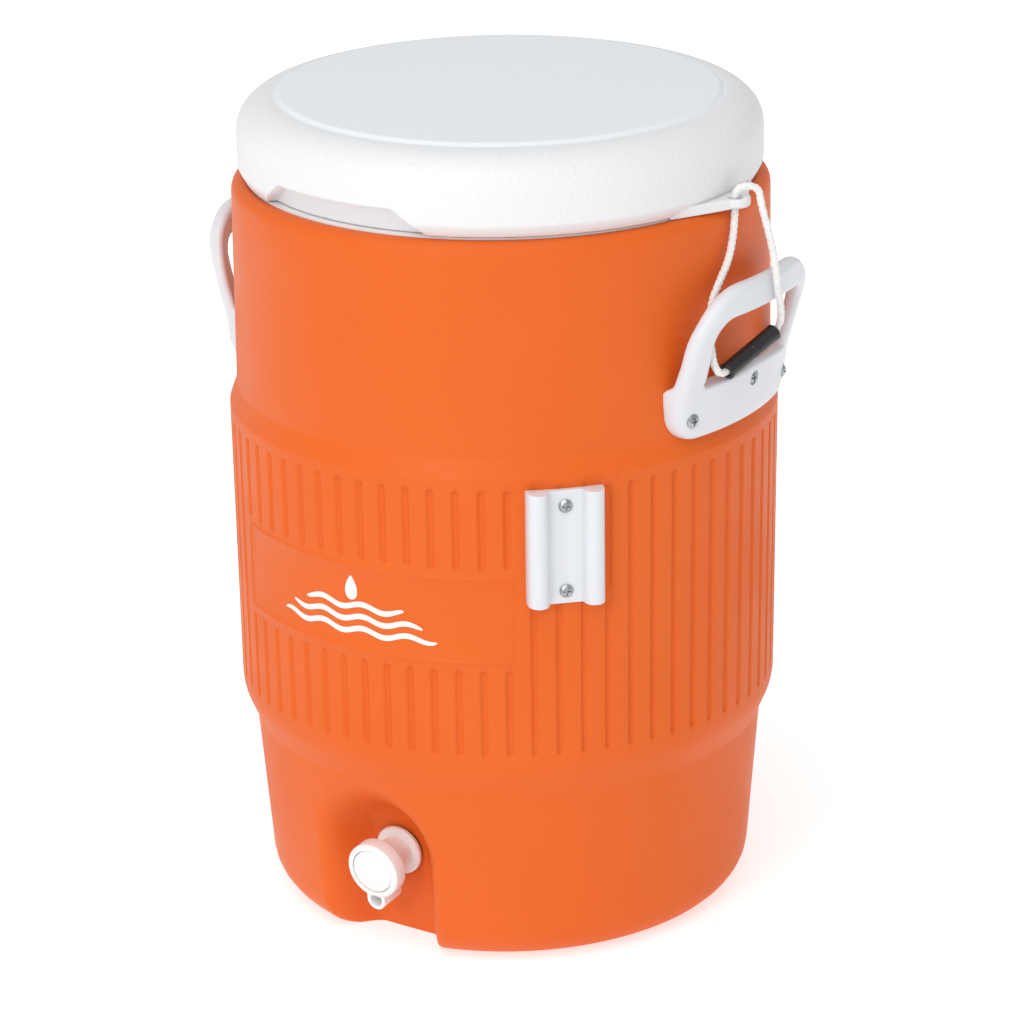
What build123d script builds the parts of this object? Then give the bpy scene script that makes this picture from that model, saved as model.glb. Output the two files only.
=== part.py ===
"""Insulated water jug, five US gallons: a foam filled double wall tub with a lift-off seat lid.

Millimetres, +Z up, origin at the centre of the base. The spigot faces -Y. An azimuth is counted in
degrees from -Y towards +X, so the two handles stand at -90 and +90.
"""

import os
from math import cos, pi, radians, sin, tan

from build123d import *

os.makedirs("parts", exist_ok=True)

# ---- driving dimensions ----
WALL = 3.0  # outer shell, liner and lid skins
BASE_R = 146.5
WAIST_R = 155.5  # lower cone where it meets the band
WAIST_Z = 113.5
BAND_LOW_R = 163.4
BAND_LOW_Z = 132.0
BAND_R = 164.9
BAND_TOP_Z = 312.0
NECK_R = 160.3
NECK_Z = 324.0
RIM_R = 159.3
RIM_Z = 449.5
RIM_SEAT_R = 150.2  # the liner's flange lies inside this radius
RIM_SEAT_Z = 446.5
BASE_RECESS_R = 110.0
BASE_RECESS = 3.0

TUB_BOTTOM_R = 117.0
TUB_TOP_R = 123.5
TUB_FLOOR_Z = 34.0
FLANGE_TOP_Z = 450.6

GROOVES = 70
GROOVE_WIDTH = 3.8
GROOVE_DEPTH = 1.2
GROOVE_LOW_Z = 142.0
GROOVE_HIGH_Z = 306.0
PANEL_HALF_ANGLE = 34.0
PANEL_LOW_Z = 201.0
PANEL_HIGH_Z = 252.5
PANEL_GROOVE_GAP = 5.5
BEAD_WIDTH = 2.0
BEAD_HEIGHT = 0.7

LEAN = 6.0  # degrees: the spigot's wall leans out by this much, and its axis dips by it
NICHE_Y = 113.6  # distance of the niche's back wall from the axis, at the floor
NICHE_FRONT_Y = 168.0
NICHE_BACK_HALF = 21.0
NICHE_FRONT_HALF = 54.0
NICHE_SPRING_Z = 62.0  # where the niche's straight sides turn into its arch
SPIGOT_Z = 56.0

HANDLE_AZIMUTHS = {"left": -89.3, "right": 90.7}
HANDLE_LOW_Z = 322.0
HANDLE_HIGH_Z = 413.0
HANDLE_HALF = 63.5
HANDLE_SCREWS = ((-18.4, 335.0), (0.0, 347.5), (18.4, 335.0))  # degrees sideways, height
SCREW_SEAT_R = 169.5
SCREW_LENGTH = 20.0
SCREW_R = 2.0
SCREW_HEAD_R = 4.0
SCREW_HEAD_H = 2.5
BOSS_R = 5.5

BRACKET_AZIMUTH = 44.8
BRACKET_LOW_Z = 238.0
BRACKET_HIGH_Z = 306.5
BRACKET_HALF = 22.5
BRACKET_FLOOR_R = 168.0
BRACKET_SCREW_ZS = (245.6, 297.0)

LID_LOW_Z = 451.1
LID_LOW_R = 151.4
LID_R = 155.2
LID_SHOULDER_Z = 477.7
LID_TOP_Z = 497.8
LID_DISC_R = 133.0
LID_DISC_STEP = 1.9
PLUG_LOW_Z = 427.0
PLUG_LOW_R = 121.4
PLUG_TOP_R = 122.6
PAN_WALL = 2.5
RECESS_AZIMUTH = -6.0
RECESS_R = 145.5
LUG_LOW_Z = 450.0
LUG_THICK = 6.0

LUG_AZIMUTH = 89.5
LUG_R = 159.0
LUG_TIP_R = 10.0
LUG_FOOT = 50.0
LUG_FOOT_R = 142.5
LUG_HOLE = (162.0, -4.5)
LUG_HOLE_R = 3.7

SHANK_R = 9.5
SHANK_GAP = 0.2
TUB_SETBACK = 12.0  # the tub's flat stands this far behind the niche's wall
TUB_FLAT_TOP = 110.0

ROPE_D = 4.6
CONNECTOR_R = 5.2
CONNECTOR_LENGTH = 38.5


def at(azimuth, r, z):
    """Point at an azimuth, a distance from the axis and a height."""
    a = radians(azimuth)
    return Vector(r * sin(a), -r * cos(a), z)


def facing(azimuth, r=0.0, z=0.0):
    """Plane whose x runs sideways, y up and z away from the jug's axis."""
    a = radians(azimuth)
    return Plane(origin=at(azimuth, r, z), x_dir=(cos(a), sin(a), 0), z_dir=(sin(a), -cos(a), 0))


def upright(azimuth):
    """Plane through the axis whose x runs outwards and y up."""
    a = radians(azimuth)
    return Plane(origin=(0, 0, 0), x_dir=(sin(a), -cos(a), 0), z_dir=(-cos(a), -sin(a), 0))


def level(azimuth, z):
    """Horizontal plane whose x runs sideways and whose y runs in towards the axis."""
    a = radians(azimuth)
    return Plane(origin=(0, 0, z), x_dir=(cos(a), sin(a), 0), z_dir=(0, 0, 1))


def finish(piece, name, color):
    """Names a finished piece and writes it."""
    piece.part.label = name
    piece.part.color = Color(*color)
    export_step(piece.part, f"parts/{name}.step")


ORANGE = (0.90, 0.42, 0.18)
WHITE = (0.94, 0.94, 0.94)
FOAM = (0.93, 0.88, 0.70)
STEEL = (0.45, 0.46, 0.48)
BLACK = (0.05, 0.05, 0.05)
RUBBER = (0.20, 0.20, 0.20)

# ---- the two forms that several pieces share ----

# The body's outer form, before its niche and grooves are cut.
with BuildPart() as body_form:
    with BuildSketch(Plane.XZ):
        with BuildLine():
            FilletPolyline(
                (BASE_RECESS_R + 4, 0),
                (BASE_R, 0),
                (WAIST_R, WAIST_Z),
                (BAND_LOW_R, BAND_LOW_Z),
                (BAND_R, BAND_TOP_Z),
                (NECK_R, NECK_Z),
                (RIM_R, RIM_Z),
                (RIM_SEAT_R, RIM_Z),
                radius=[24, 10, 30, 5, 8, 7.5],
            )
            Polyline(
                (RIM_SEAT_R, RIM_Z),
                (RIM_SEAT_R, RIM_SEAT_Z),
                (0, RIM_SEAT_Z),
                (0, BASE_RECESS),
                (BASE_RECESS_R, BASE_RECESS),
                (BASE_RECESS_R + 4, 0),
            )
        make_face()
    revolve(axis=Axis.Z)

# The space inside the shell, open at the top.
with BuildPart() as body_cavity:
    with BuildSketch(Plane.XZ):
        with BuildLine():
            FilletPolyline(
                (0, 2 * WALL),
                (BASE_R - WALL, 2 * WALL),
                (WAIST_R - WALL, WAIST_Z),
                (BAND_LOW_R - WALL, BAND_LOW_Z + 1),
                (BAND_R - WALL, BAND_TOP_Z - 1),
                (NECK_R - WALL, NECK_Z),
                (RIM_R - WALL, RIM_SEAT_Z - WALL),
                (RIM_SEAT_R - WALL, RIM_SEAT_Z - WALL),
                radius=[18, 10, 27, 5, 8, 4],
            )
            Polyline(
                (RIM_SEAT_R - WALL, RIM_SEAT_Z - WALL),
                (RIM_SEAT_R - WALL, RIM_SEAT_Z),
                (0, RIM_SEAT_Z),
                (0, 2 * WALL),
            )
        make_face()
    revolve(axis=Axis.Z)


# The niche's back wall, and the spigot's own plane on it.
lean = radians(LEAN)
niche_wall = Plane(origin=(0, -NICHE_Y, 0), x_dir=(1, 0, 0), z_dir=(0, -cos(lean), -sin(lean)))
niche_front = Plane(origin=(0, -NICHE_FRONT_Y, 0), x_dir=(1, 0, 0), z_dir=(0, -1, 0))
SPIGOT_Y = NICHE_Y + SPIGOT_Z * tan(lean)
spigot_plane = Plane(origin=(0, -SPIGOT_Y, SPIGOT_Z), x_dir=(1, 0, 0), z_dir=niche_wall.z_dir)
spigot_axis = Axis(spigot_plane.origin, spigot_plane.z_dir)
NICHE_BELOW = 20.0  # the niche's tool starts this far under the floor


def arch(half, spring):
    """A doorway outline, half wide and round above its spring line."""
    Polyline((-half, spring), (-half, -NICHE_BELOW), (half, -NICHE_BELOW), (half, spring))
    ThreePointArc((half, spring), (0, spring + half), (-half, spring))


# The hollow that the spigot stands in, and the same hollow with the shell's wall round it.
with BuildPart() as niche:
    with BuildSketch(niche_wall):
        with BuildLine():
            arch(NICHE_BACK_HALF, NICHE_SPRING_Z)
        make_face()
    with BuildSketch(niche_front):
        with BuildLine():
            arch(NICHE_FRONT_HALF, NICHE_SPRING_Z)
        make_face()
    loft()

with BuildPart() as niche_with_wall:
    with BuildSketch(niche_wall.offset(-WALL)):
        with BuildLine():
            arch(NICHE_BACK_HALF + WALL / 2, NICHE_SPRING_Z + WALL)
        make_face()
    with BuildSketch(niche_front):
        with BuildLine():
            arch(NICHE_FRONT_HALF + 1.2 * WALL, NICHE_SPRING_Z + WALL)
        make_face()
    loft()

with BuildPart() as shell_hollow:
    add(body_cavity.part)
    add(niche_with_wall.part, mode=Mode.SUBTRACT)

# ---- where the screws go ----


def handle_screws(side):
    """Azimuth, height, seat radius and wall radius of one handle's screws."""
    middle = HANDLE_AZIMUTHS[side]
    return [(middle + turn, z, SCREW_SEAT_R, NECK_R - WALL / 2) for turn, z in HANDLE_SCREWS]


bracket_screws = [(BRACKET_AZIMUTH, z, BRACKET_FLOOR_R, BAND_R - WALL / 2 - 0.5) for z in BRACKET_SCREW_ZS]
all_screws = handle_screws("left") + handle_screws("right") + bracket_screws

# The bosses that the screws bite into stand on the inside of the shell.
with BuildPart() as bosses:
    for azimuth, z, seat_r, wall_r in all_screws:
        tip_r = seat_r - SCREW_LENGTH
        with BuildSketch(facing(azimuth, tip_r - 2, z)):
            Circle(BOSS_R)
        extrude(amount=wall_r - tip_r + 2)

with BuildPart() as pilot_holes:
    for azimuth, z, seat_r, wall_r in all_screws:
        with BuildSketch(facing(azimuth, seat_r - SCREW_LENGTH, z)):
            Circle(SCREW_R)
        extrude(amount=SCREW_LENGTH + 10)

# ---- outer shell ----

groove_pitch = 360 / GROOVES
groove_azimuths = [groove_pitch * (i + 0.5) for i in range(GROOVES)]
GROOVE_OUT_R = BAND_R + 1.0
GROOVE_CUT = GROOVE_OUT_R - BAND_R + GROOVE_DEPTH + 0.3


def beside_panel(azimuth):
    """Whether a groove runs past the label panel and not above and below it."""
    turned = (azimuth + 180) % 360 - 180
    return abs(turned) > PANEL_HALF_ANGLE + 1


with BuildPart() as outer_shell:
    add(body_form.part)
    # The label panel's raised frame: two level beads and two upright ones.
    for z in (PANEL_LOW_Z, PANEL_HIGH_Z):
        with BuildSketch(upright(-PANEL_HALF_ANGLE)):
            with Locations((BAND_R - 2, z)):
                Rectangle(4 + BEAD_HEIGHT, BEAD_WIDTH)
        revolve(axis=Axis.Z, revolution_arc=2 * PANEL_HALF_ANGLE)
    for a in (-PANEL_HALF_ANGLE, PANEL_HALF_ANGLE):
        with BuildSketch(facing(a, BAND_R - 4, (PANEL_LOW_Z + PANEL_HIGH_Z) / 2)):
            Rectangle(BEAD_WIDTH, PANEL_HIGH_Z - PANEL_LOW_Z + BEAD_WIDTH)
        extrude(amount=4 + BEAD_HEIGHT / 2)
    tall = [a for a in groove_azimuths if beside_panel(a)]
    short = [a for a in groove_azimuths if not beside_panel(a)]
    for low, high, azimuths in (
        (GROOVE_LOW_Z, GROOVE_HIGH_Z, tall),
        (PANEL_HIGH_Z + PANEL_GROOVE_GAP, GROOVE_HIGH_Z, short),
        (GROOVE_LOW_Z, PANEL_LOW_Z - PANEL_GROOVE_GAP, short),
    ):
        with BuildSketch(*[facing(a, GROOVE_OUT_R, (low + high) / 2) for a in azimuths]):
            SlotOverall(high - low, GROOVE_WIDTH, rotation=90)
        extrude(amount=-GROOVE_CUT, mode=Mode.SUBTRACT)
    add(niche.part, mode=Mode.SUBTRACT)
    add(shell_hollow.part, mode=Mode.SUBTRACT)
    add(bosses.part)
    add(pilot_holes.part, mode=Mode.SUBTRACT)
    with BuildSketch(spigot_plane):
        Circle(SHANK_R + SHANK_GAP)
    extrude(amount=-2 * WALL, mode=Mode.SUBTRACT)
finish(outer_shell, "outer_shell", ORANGE)

# ---- liner and insulation ----


# The tub's outer form and its inside.
with BuildPart() as tub_form:
    with BuildSketch(Plane.XZ):
        with BuildLine():
            FilletPolyline(
                (0, TUB_FLOOR_Z - WALL),
                (TUB_BOTTOM_R + WALL, TUB_FLOOR_Z - WALL),
                (TUB_TOP_R + WALL, RIM_SEAT_Z),
                radius=[16],
            )
            Polyline((TUB_TOP_R + WALL, RIM_SEAT_Z), (0, RIM_SEAT_Z), (0, TUB_FLOOR_Z - WALL))
        make_face()
    revolve(axis=Axis.Z)
    with BuildSketch(niche_wall.offset(-TUB_SETBACK)):
        with Locations((0, TUB_FLAT_TOP / 2 - 10)):
            Rectangle(200, TUB_FLAT_TOP + 20)
    extrude(amount=60, mode=Mode.SUBTRACT)

with BuildPart() as tub_space:
    with BuildSketch(Plane.XZ):
        with BuildLine():
            FilletPolyline(
                (0, TUB_FLOOR_Z),
                (TUB_BOTTOM_R, TUB_FLOOR_Z),
                (TUB_TOP_R, FLANGE_TOP_Z),
                radius=[13],
            )
            Polyline((TUB_TOP_R, FLANGE_TOP_Z), (0, FLANGE_TOP_Z), (0, TUB_FLOOR_Z))
        make_face()
    revolve(axis=Axis.Z)
    with BuildSketch(niche_wall.offset(-TUB_SETBACK - WALL)):
        with Locations((0, (TUB_FLAT_TOP + WALL) / 2 - 10)):
            Rectangle(200, TUB_FLAT_TOP + WALL + 20)
    extrude(amount=60, mode=Mode.SUBTRACT)
print(f"tub holds {tub_space.part.volume / 1e6:.2f} litres to the brim")

with BuildPart() as inner_liner:
    add(tub_form.part)
    with BuildSketch(Plane.XY.offset(RIM_SEAT_Z)):
        Circle(RIM_SEAT_R - 0.3)
    extrude(amount=FLANGE_TOP_Z - RIM_SEAT_Z)
    add(tub_space.part, mode=Mode.SUBTRACT)
    with BuildSketch(spigot_plane):
        Circle(SHANK_R + SHANK_GAP)
    extrude(amount=-TUB_SETBACK - 2 * WALL, mode=Mode.SUBTRACT)
finish(inner_liner, "inner_liner", WHITE)

with BuildPart() as insulation_foam:
    add(shell_hollow.part)
    add(bosses.part, mode=Mode.SUBTRACT)
    add(tub_form.part, mode=Mode.SUBTRACT)
    with BuildSketch(spigot_plane):
        Circle(SHANK_R + SHANK_GAP)
    extrude(amount=-TUB_SETBACK - WALL, mode=Mode.SUBTRACT)
finish(insulation_foam, "insulation_foam", FOAM)

# ---- lid ----

SHOULDER_R = LID_R - LID_DISC_R
SHOULDER_H = LID_TOP_Z - LID_SHOULDER_Z
DISC_Z = LID_TOP_Z + LID_DISC_STEP
RECESS_HALF_LOW = 60.9
RECESS_HALF_TOP = 43.7
RECESS_TOP_Z = 464.5


def recess_outline(grow):
    """The finger recess seen from outside: a trapezoid that is wider at the skirt's edge."""
    slope = (RECESS_HALF_LOW - RECESS_HALF_TOP) / (RECESS_TOP_Z - LID_LOW_Z)
    drop = 10.0
    low = RECESS_HALF_LOW + slope * drop + grow
    top = RECESS_HALF_TOP + grow
    Polyline(
        (-low, LID_LOW_Z - drop),
        (low, LID_LOW_Z - drop),
        (top, RECESS_TOP_Z + grow),
        (-top, RECESS_TOP_Z + grow),
        close=True,
    )


TOOL_R = 100.0  # cutting forms start this far from the axis, well inside the skins
TOOL_REACH = 80.0

with BuildPart() as finger_recess:
    with BuildSketch(facing(RECESS_AZIMUTH, TOOL_R)):
        with BuildLine():
            recess_outline(0)
        make_face()
    extrude(amount=TOOL_REACH)
    with BuildSketch(Plane.XY.offset(LID_LOW_Z - 20)):
        Circle(RECESS_R)
    extrude(amount=60, mode=Mode.SUBTRACT)

with BuildPart() as finger_recess_with_wall:
    with BuildSketch(facing(RECESS_AZIMUTH, TOOL_R)):
        with BuildLine():
            recess_outline(WALL)
        make_face()
    extrude(amount=TOOL_REACH)
    with BuildSketch(Plane.XY.offset(LID_LOW_Z - 20)):
        Circle(RECESS_R - WALL)
    extrude(amount=60, mode=Mode.SUBTRACT)

# The space under the lid's top skin.
with BuildPart() as lid_space:
    with BuildSketch(Plane.XZ):
        with BuildLine():
            Polyline(
                (0, LID_LOW_Z),
                (LID_LOW_R - WALL, LID_LOW_Z),
                (LID_R - WALL, LID_LOW_Z + 8),
                (LID_R - WALL, LID_SHOULDER_Z),
            )
            EllipticalCenterArc(
                (LID_DISC_R, LID_SHOULDER_Z), SHOULDER_R - WALL, SHOULDER_H - WALL, arc_size=90
            )
            Polyline((LID_DISC_R, LID_TOP_Z - WALL), (0, LID_TOP_Z - WALL), (0, LID_LOW_Z))
        make_face()
    revolve(axis=Axis.Z)
    add(finger_recess_with_wall.part, mode=Mode.SUBTRACT)

with BuildPart() as lid_shell:
    with BuildSketch(Plane.XZ):
        with BuildLine():
            FilletPolyline(
                (0, LID_LOW_Z),
                (LID_LOW_R, LID_LOW_Z),
                (LID_R, LID_LOW_Z + 7),
                (LID_R, LID_SHOULDER_Z),
                radius=[1.2, 5],
            )
            EllipticalCenterArc(
                (LID_DISC_R, LID_SHOULDER_Z), SHOULDER_R, SHOULDER_H, arc_size=90
            )
            FilletPolyline(
                (LID_DISC_R, LID_TOP_Z), (LID_DISC_R - 0.4, DISC_Z), (0, DISC_Z), radius=[1.2]
            )
            Line((0, DISC_Z), (0, LID_LOW_Z))
        make_face()
    revolve(axis=Axis.Z)
    # The eye that the tether is tied through stands out from the skirt's edge.
    with BuildSketch(level(LUG_AZIMUTH, LUG_LOW_Z)):
        with BuildLine():
            Polyline(
                (-LUG_FOOT, -LUG_FOOT_R),
                (LUG_FOOT, -LUG_FOOT_R),
                (LUG_TIP_R, -LUG_R),
                (-LUG_TIP_R, -LUG_R),
                close=True,
            )
        make_face()
        with Locations((0, -LUG_R)):
            Circle(LUG_TIP_R)
    extrude(amount=LUG_THICK)
    add(lid_space.part, mode=Mode.SUBTRACT)
    add(finger_recess.part, mode=Mode.SUBTRACT)
    with BuildSketch(Plane.XY.offset(LUG_LOW_Z - 5)):
        Circle(RIM_SEAT_R)
    extrude(amount=LID_LOW_Z - LUG_LOW_Z + 5, mode=Mode.SUBTRACT)
    with BuildSketch(Plane.XY.offset(LUG_LOW_Z)):
        with Locations(LUG_HOLE):
            Circle(LUG_HOLE_R)
    extrude(amount=LUG_THICK, mode=Mode.SUBTRACT)
finish(lid_shell, "lid_shell", WHITE)

PAN_LOW_Z = FLANGE_TOP_Z + 0.3
with BuildPart() as lid_pan:
    with BuildSketch(Plane.XZ):
        with BuildLine():
            Polyline(
                (0, PLUG_LOW_Z),
                (PLUG_LOW_R, PLUG_LOW_Z),
                (PLUG_TOP_R, PAN_LOW_Z),
                (LID_LOW_R - WALL - 0.3, PAN_LOW_Z),
                (LID_LOW_R - WALL - 0.3, LID_LOW_Z + PAN_WALL),
                (PLUG_TOP_R - PAN_WALL, LID_LOW_Z + PAN_WALL),
                (PLUG_LOW_R - PAN_WALL, PLUG_LOW_Z + PAN_WALL),
                (0, PLUG_LOW_Z + PAN_WALL),
                close=True,
            )
        make_face()
    revolve(axis=Axis.Z)
    add(finger_recess_with_wall.part, mode=Mode.SUBTRACT)
finish(lid_pan, "lid_pan", WHITE)

# The lid's inner space above the pan, which the foam fills together with the pan's hollow.
with BuildPart() as above_pan:
    add(lid_space.part)
    with BuildSketch(Plane.XY.offset(LID_LOW_Z - 1)):
        Circle(LID_R)
    extrude(amount=PAN_WALL + 1, mode=Mode.SUBTRACT)

with BuildPart() as lid_foam:
    with BuildSketch(Plane.XZ):
        with BuildLine():
            Polyline(
                (0, PLUG_LOW_Z + PAN_WALL),
                (PLUG_LOW_R - PAN_WALL, PLUG_LOW_Z + PAN_WALL),
                (PLUG_TOP_R - PAN_WALL, LID_LOW_Z + PAN_WALL),
                (0, LID_LOW_Z + PAN_WALL),
                close=True,
            )
        make_face()
    revolve(axis=Axis.Z)
    add(above_pan.part)
finish(lid_foam, "lid_foam", FOAM)

# ---- handles ----

HANDLE_SWEEP = 48.0  # degrees of the body that a handle's form is turned through
HANDLE_BAR_R = 184.5  # outer face of the bar that the hand holds
for side, azimuth in HANDLE_AZIMUTHS.items():
    with BuildPart() as handle:
        # The side view, turned about the jug's axis: a foot on the neck and a bar that leans out.
        with BuildSketch(upright(azimuth - HANDLE_SWEEP / 2)):
            with BuildLine():
                Polyline(
                    (157.0, HANDLE_LOW_Z),
                    (168.5, HANDLE_LOW_Z),
                    (172.0, 350.0),
                    (HANDLE_BAR_R, 396.0),
                    (HANDLE_BAR_R, HANDLE_HIGH_Z),
                    (174.5, HANDLE_HIGH_Z),
                    (174.5, 396.0),
                    (169.0, 370.0),
                    (164.5, 356.0),
                    (157.0, 352.0),
                    close=True,
                )
            make_face()
        revolve(axis=Axis.Z, revolution_arc=HANDLE_SWEEP)
        # The front view trims it to its outline.
        with BuildSketch(facing(azimuth, TOOL_R)):
            with BuildLine():
                FilletPolyline(
                    (0, HANDLE_LOW_Z),
                    (-HANDLE_HALF + 2, HANDLE_LOW_Z),
                    (-HANDLE_HALF, 346.0),
                    (-HANDLE_HALF + 1.5, HANDLE_HIGH_Z),
                    (0, HANDLE_HIGH_Z),
                    radius=[16, 40, 33],
                )
                mirror(about=Plane.YZ)
            make_face()
        extrude(amount=TOOL_REACH + 10, mode=Mode.INTERSECT)
        with BuildSketch(facing(azimuth, TOOL_R)):
            with BuildLine():
                FilletPolyline(
                    (0, 358.5),
                    (-46.0, 353.5),
                    (-48.5, 394.5),
                    (0, 394.5),
                    radius=[2.5, 13],
                )
                mirror(about=Plane.YZ)
            make_face()
        extrude(amount=TOOL_REACH + 10, mode=Mode.SUBTRACT)
        add(body_form.part, mode=Mode.SUBTRACT)
        for screw_azimuth, z, seat_r, wall_r in handle_screws(side):
            with BuildSketch(facing(screw_azimuth, seat_r, z)):
                Circle(SCREW_HEAD_R + 0.5)
            extrude(amount=12, mode=Mode.SUBTRACT)
            with BuildSketch(facing(screw_azimuth, seat_r, z)):
                Circle(SCREW_R + 0.2)
            extrude(amount=-14, mode=Mode.SUBTRACT)
    finish(handle, f"handle_{side}", WHITE)

# ---- screws ----

HEAD_EDGE = 0.6

with BuildPart() as screw:
    with BuildSketch(Plane.XZ):
        with BuildLine():
            Polyline(
                (0, SCREW_LENGTH + SCREW_HEAD_H),
                (0, 0),
                (SCREW_R, 0),
                (SCREW_R, SCREW_LENGTH),
                (SCREW_HEAD_R, SCREW_LENGTH),
                (SCREW_HEAD_R, SCREW_LENGTH + HEAD_EDGE),
            )
            TangentArc(
                (0, SCREW_LENGTH + SCREW_HEAD_H),
                (SCREW_HEAD_R, SCREW_LENGTH + HEAD_EDGE),
                tangent=(1, 0),
            )
        make_face()
    revolve(axis=Axis.Z)
    with BuildSketch(Plane.XY.offset(SCREW_LENGTH + SCREW_HEAD_H)):
        Rectangle(4.6, 1.0)
        Rectangle(1.0, 4.6)
    extrude(amount=-1.6, mode=Mode.SUBTRACT)

screw_groups = {
    "handle_screws_left": handle_screws("left"),
    "handle_screws_right": handle_screws("right"),
    "cup_bracket_screws": bracket_screws,
}
for name, places in screw_groups.items():
    with BuildPart() as group:
        for azimuth, z, seat_r, wall_r in places:
            with Locations(facing(azimuth, seat_r - SCREW_LENGTH, z)):
                add(screw.part)
    finish(group, name, STEEL)

# ---- cup bracket ----

RIDGE_R = 6.3
RIDGE_HEIGHT = 7.6
RIDGE_END = 4.0
with BuildPart() as cup_bracket:
    with BuildSketch(level(BRACKET_AZIMUTH, BRACKET_LOW_Z)):
        with Locations((0, -(BRACKET_FLOOR_R - 4))):
            Rectangle(2 * BRACKET_HALF, 8)
        with Locations(
            (BRACKET_HALF - RIDGE_R, -BRACKET_FLOOR_R), (RIDGE_R - BRACKET_HALF, -BRACKET_FLOOR_R)
        ):
            Ellipse(RIDGE_R, RIDGE_HEIGHT)
    extrude(amount=BRACKET_HIGH_Z - BRACKET_LOW_Z)
    # The ridges fall away at the top.
    with BuildSketch(facing(BRACKET_AZIMUTH + 90, -BRACKET_HALF - 1)):
        with BuildLine():
            Polyline(
                (BRACKET_FLOOR_R + 0.5, BRACKET_HIGH_Z),
                (BRACKET_FLOOR_R + 10, BRACKET_HIGH_Z),
                (BRACKET_FLOOR_R + 10, BRACKET_HIGH_Z - 2 * RIDGE_END),
                close=True,
            )
        make_face()
    extrude(amount=2 * BRACKET_HALF + 2, mode=Mode.SUBTRACT)
    add(body_form.part, mode=Mode.SUBTRACT)
    for azimuth, z, seat_r, wall_r in bracket_screws:
        with BuildSketch(facing(azimuth, seat_r, z)):
            Circle(SCREW_R + 0.2)
        extrude(amount=-10, mode=Mode.SUBTRACT)
finish(cup_bracket, "cup_bracket", WHITE)

# ---- spigot, along its own axis: heights are counted out from the niche's wall ----

GASKET = 2.0
COLLAR_R = 15.5
COLLAR = 3.0
BARREL_R = 10.5
INLET_R = 6.5
SEAT_R = 4.2
SEAT_BACK = -2.0
SEAT_FRONT = 1.0
CHAMBER_R = 8.0
HEAD_R = 17.6
HEAD_NECK = 19.0
HEAD_FROM = 23.0
HEAD_TO = 32.5
GLAND_FROM = 25.0
GLAND_TO = 27.2
BUTTON_SPACE_R = 14.0
BUTTON_R = 13.6
BUTTON_FROM = 30.5
BUTTON_RIM_TO = 32.0
BUTTON_TOP = 33.6
STEM_R = 2.0
STEM_FIT = 0.05
STEM_GRIP = 1.0
SEAL_R = 5.6
SEAL = 2.5
SHANK_TO = -29.0
SPOUT_R = 6.2
SPOUT_BORE_R = 4.2
SPOUT_DOWN = 20.3  # the spout's mouth lies this far under the spigot's axis
SPOUT_FROM = 13.0
SPOUT_TO = 31.0
DROP_BORE_R = 2.9
DROP_BORE_AT = 18.4

# A section plane through the spigot's axis: x runs out along it, y is the radius, downwards.
spigot_section = Plane(origin=spigot_plane.origin, x_dir=spigot_plane.z_dir, z_dir=(1, 0, 0))

with BuildPart() as spigot_body:
    with BuildSketch(spigot_section):
        with BuildLine():
            Polyline(
                (SHANK_TO, 0),
                (SHANK_TO, SHANK_R),
                (GASKET, SHANK_R),
                (GASKET, COLLAR_R),
                (GASKET + COLLAR - 1, COLLAR_R),
                (GASKET + COLLAR, COLLAR_R - 1),
                (GASKET + COLLAR, BARREL_R),
                (HEAD_NECK, BARREL_R),
                (HEAD_FROM, HEAD_R),
                (HEAD_TO - 1.2, HEAD_R),
                (HEAD_TO, HEAD_R - 1.2),
                (HEAD_TO, 0),
                close=True,
            )
        make_face()
    revolve(axis=spigot_axis)
    # The spout is moulded on under the barrel and looks forward.
    with BuildSketch(spigot_plane.offset(SPOUT_FROM)):
        SlotCenterPoint((0, -SPOUT_DOWN / 2), (0, -SPOUT_DOWN), 2 * SPOUT_R)
    extrude(amount=SPOUT_TO - SPOUT_FROM)
    with BuildSketch(spigot_plane.offset(HEAD_TO)):
        Circle(BUTTON_SPACE_R)
    extrude(amount=GLAND_FROM - HEAD_TO, mode=Mode.SUBTRACT)
    for hole_r, start, end in (
        (INLET_R, SHANK_TO, SEAT_BACK),
        (SEAT_R, SEAT_BACK, SEAT_FRONT),
        (CHAMBER_R, SEAT_FRONT, GLAND_FROM),
    ):
        with BuildSketch(spigot_plane.offset(start)):
            Circle(hole_r)
        extrude(amount=end - start, mode=Mode.SUBTRACT)
    # The water drops from the chamber into the spout.
    with BuildSketch(spigot_plane.offset(SPOUT_FROM + 2)):
        with Locations((0, -SPOUT_DOWN)):
            Circle(SPOUT_BORE_R)
    extrude(amount=SPOUT_TO - SPOUT_FROM, mode=Mode.SUBTRACT)
    drop_start = spigot_plane.origin + spigot_plane.z_dir * DROP_BORE_AT
    with BuildSketch(Plane(origin=drop_start, x_dir=(1, 0, 0), z_dir=-spigot_plane.y_dir)):
        Circle(DROP_BORE_R)
    extrude(amount=SPOUT_DOWN, mode=Mode.SUBTRACT)
finish(spigot_body, "spigot_body", WHITE)

with BuildPart() as spigot_gland:
    with BuildSketch(spigot_section):
        with BuildLine():
            Polyline(
                (GLAND_FROM - 3, STEM_R + STEM_FIT),
                (GLAND_FROM - 3, CHAMBER_R - 0.1),
                (GLAND_FROM, CHAMBER_R - 0.1),
                (GLAND_FROM, BUTTON_SPACE_R - 0.1),
                (GLAND_TO, BUTTON_SPACE_R - 0.1),
                (GLAND_TO, STEM_R + STEM_FIT),
                close=True,
            )
        make_face()
    revolve(axis=spigot_axis)
finish(spigot_gland, "spigot_gland", WHITE)

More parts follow.
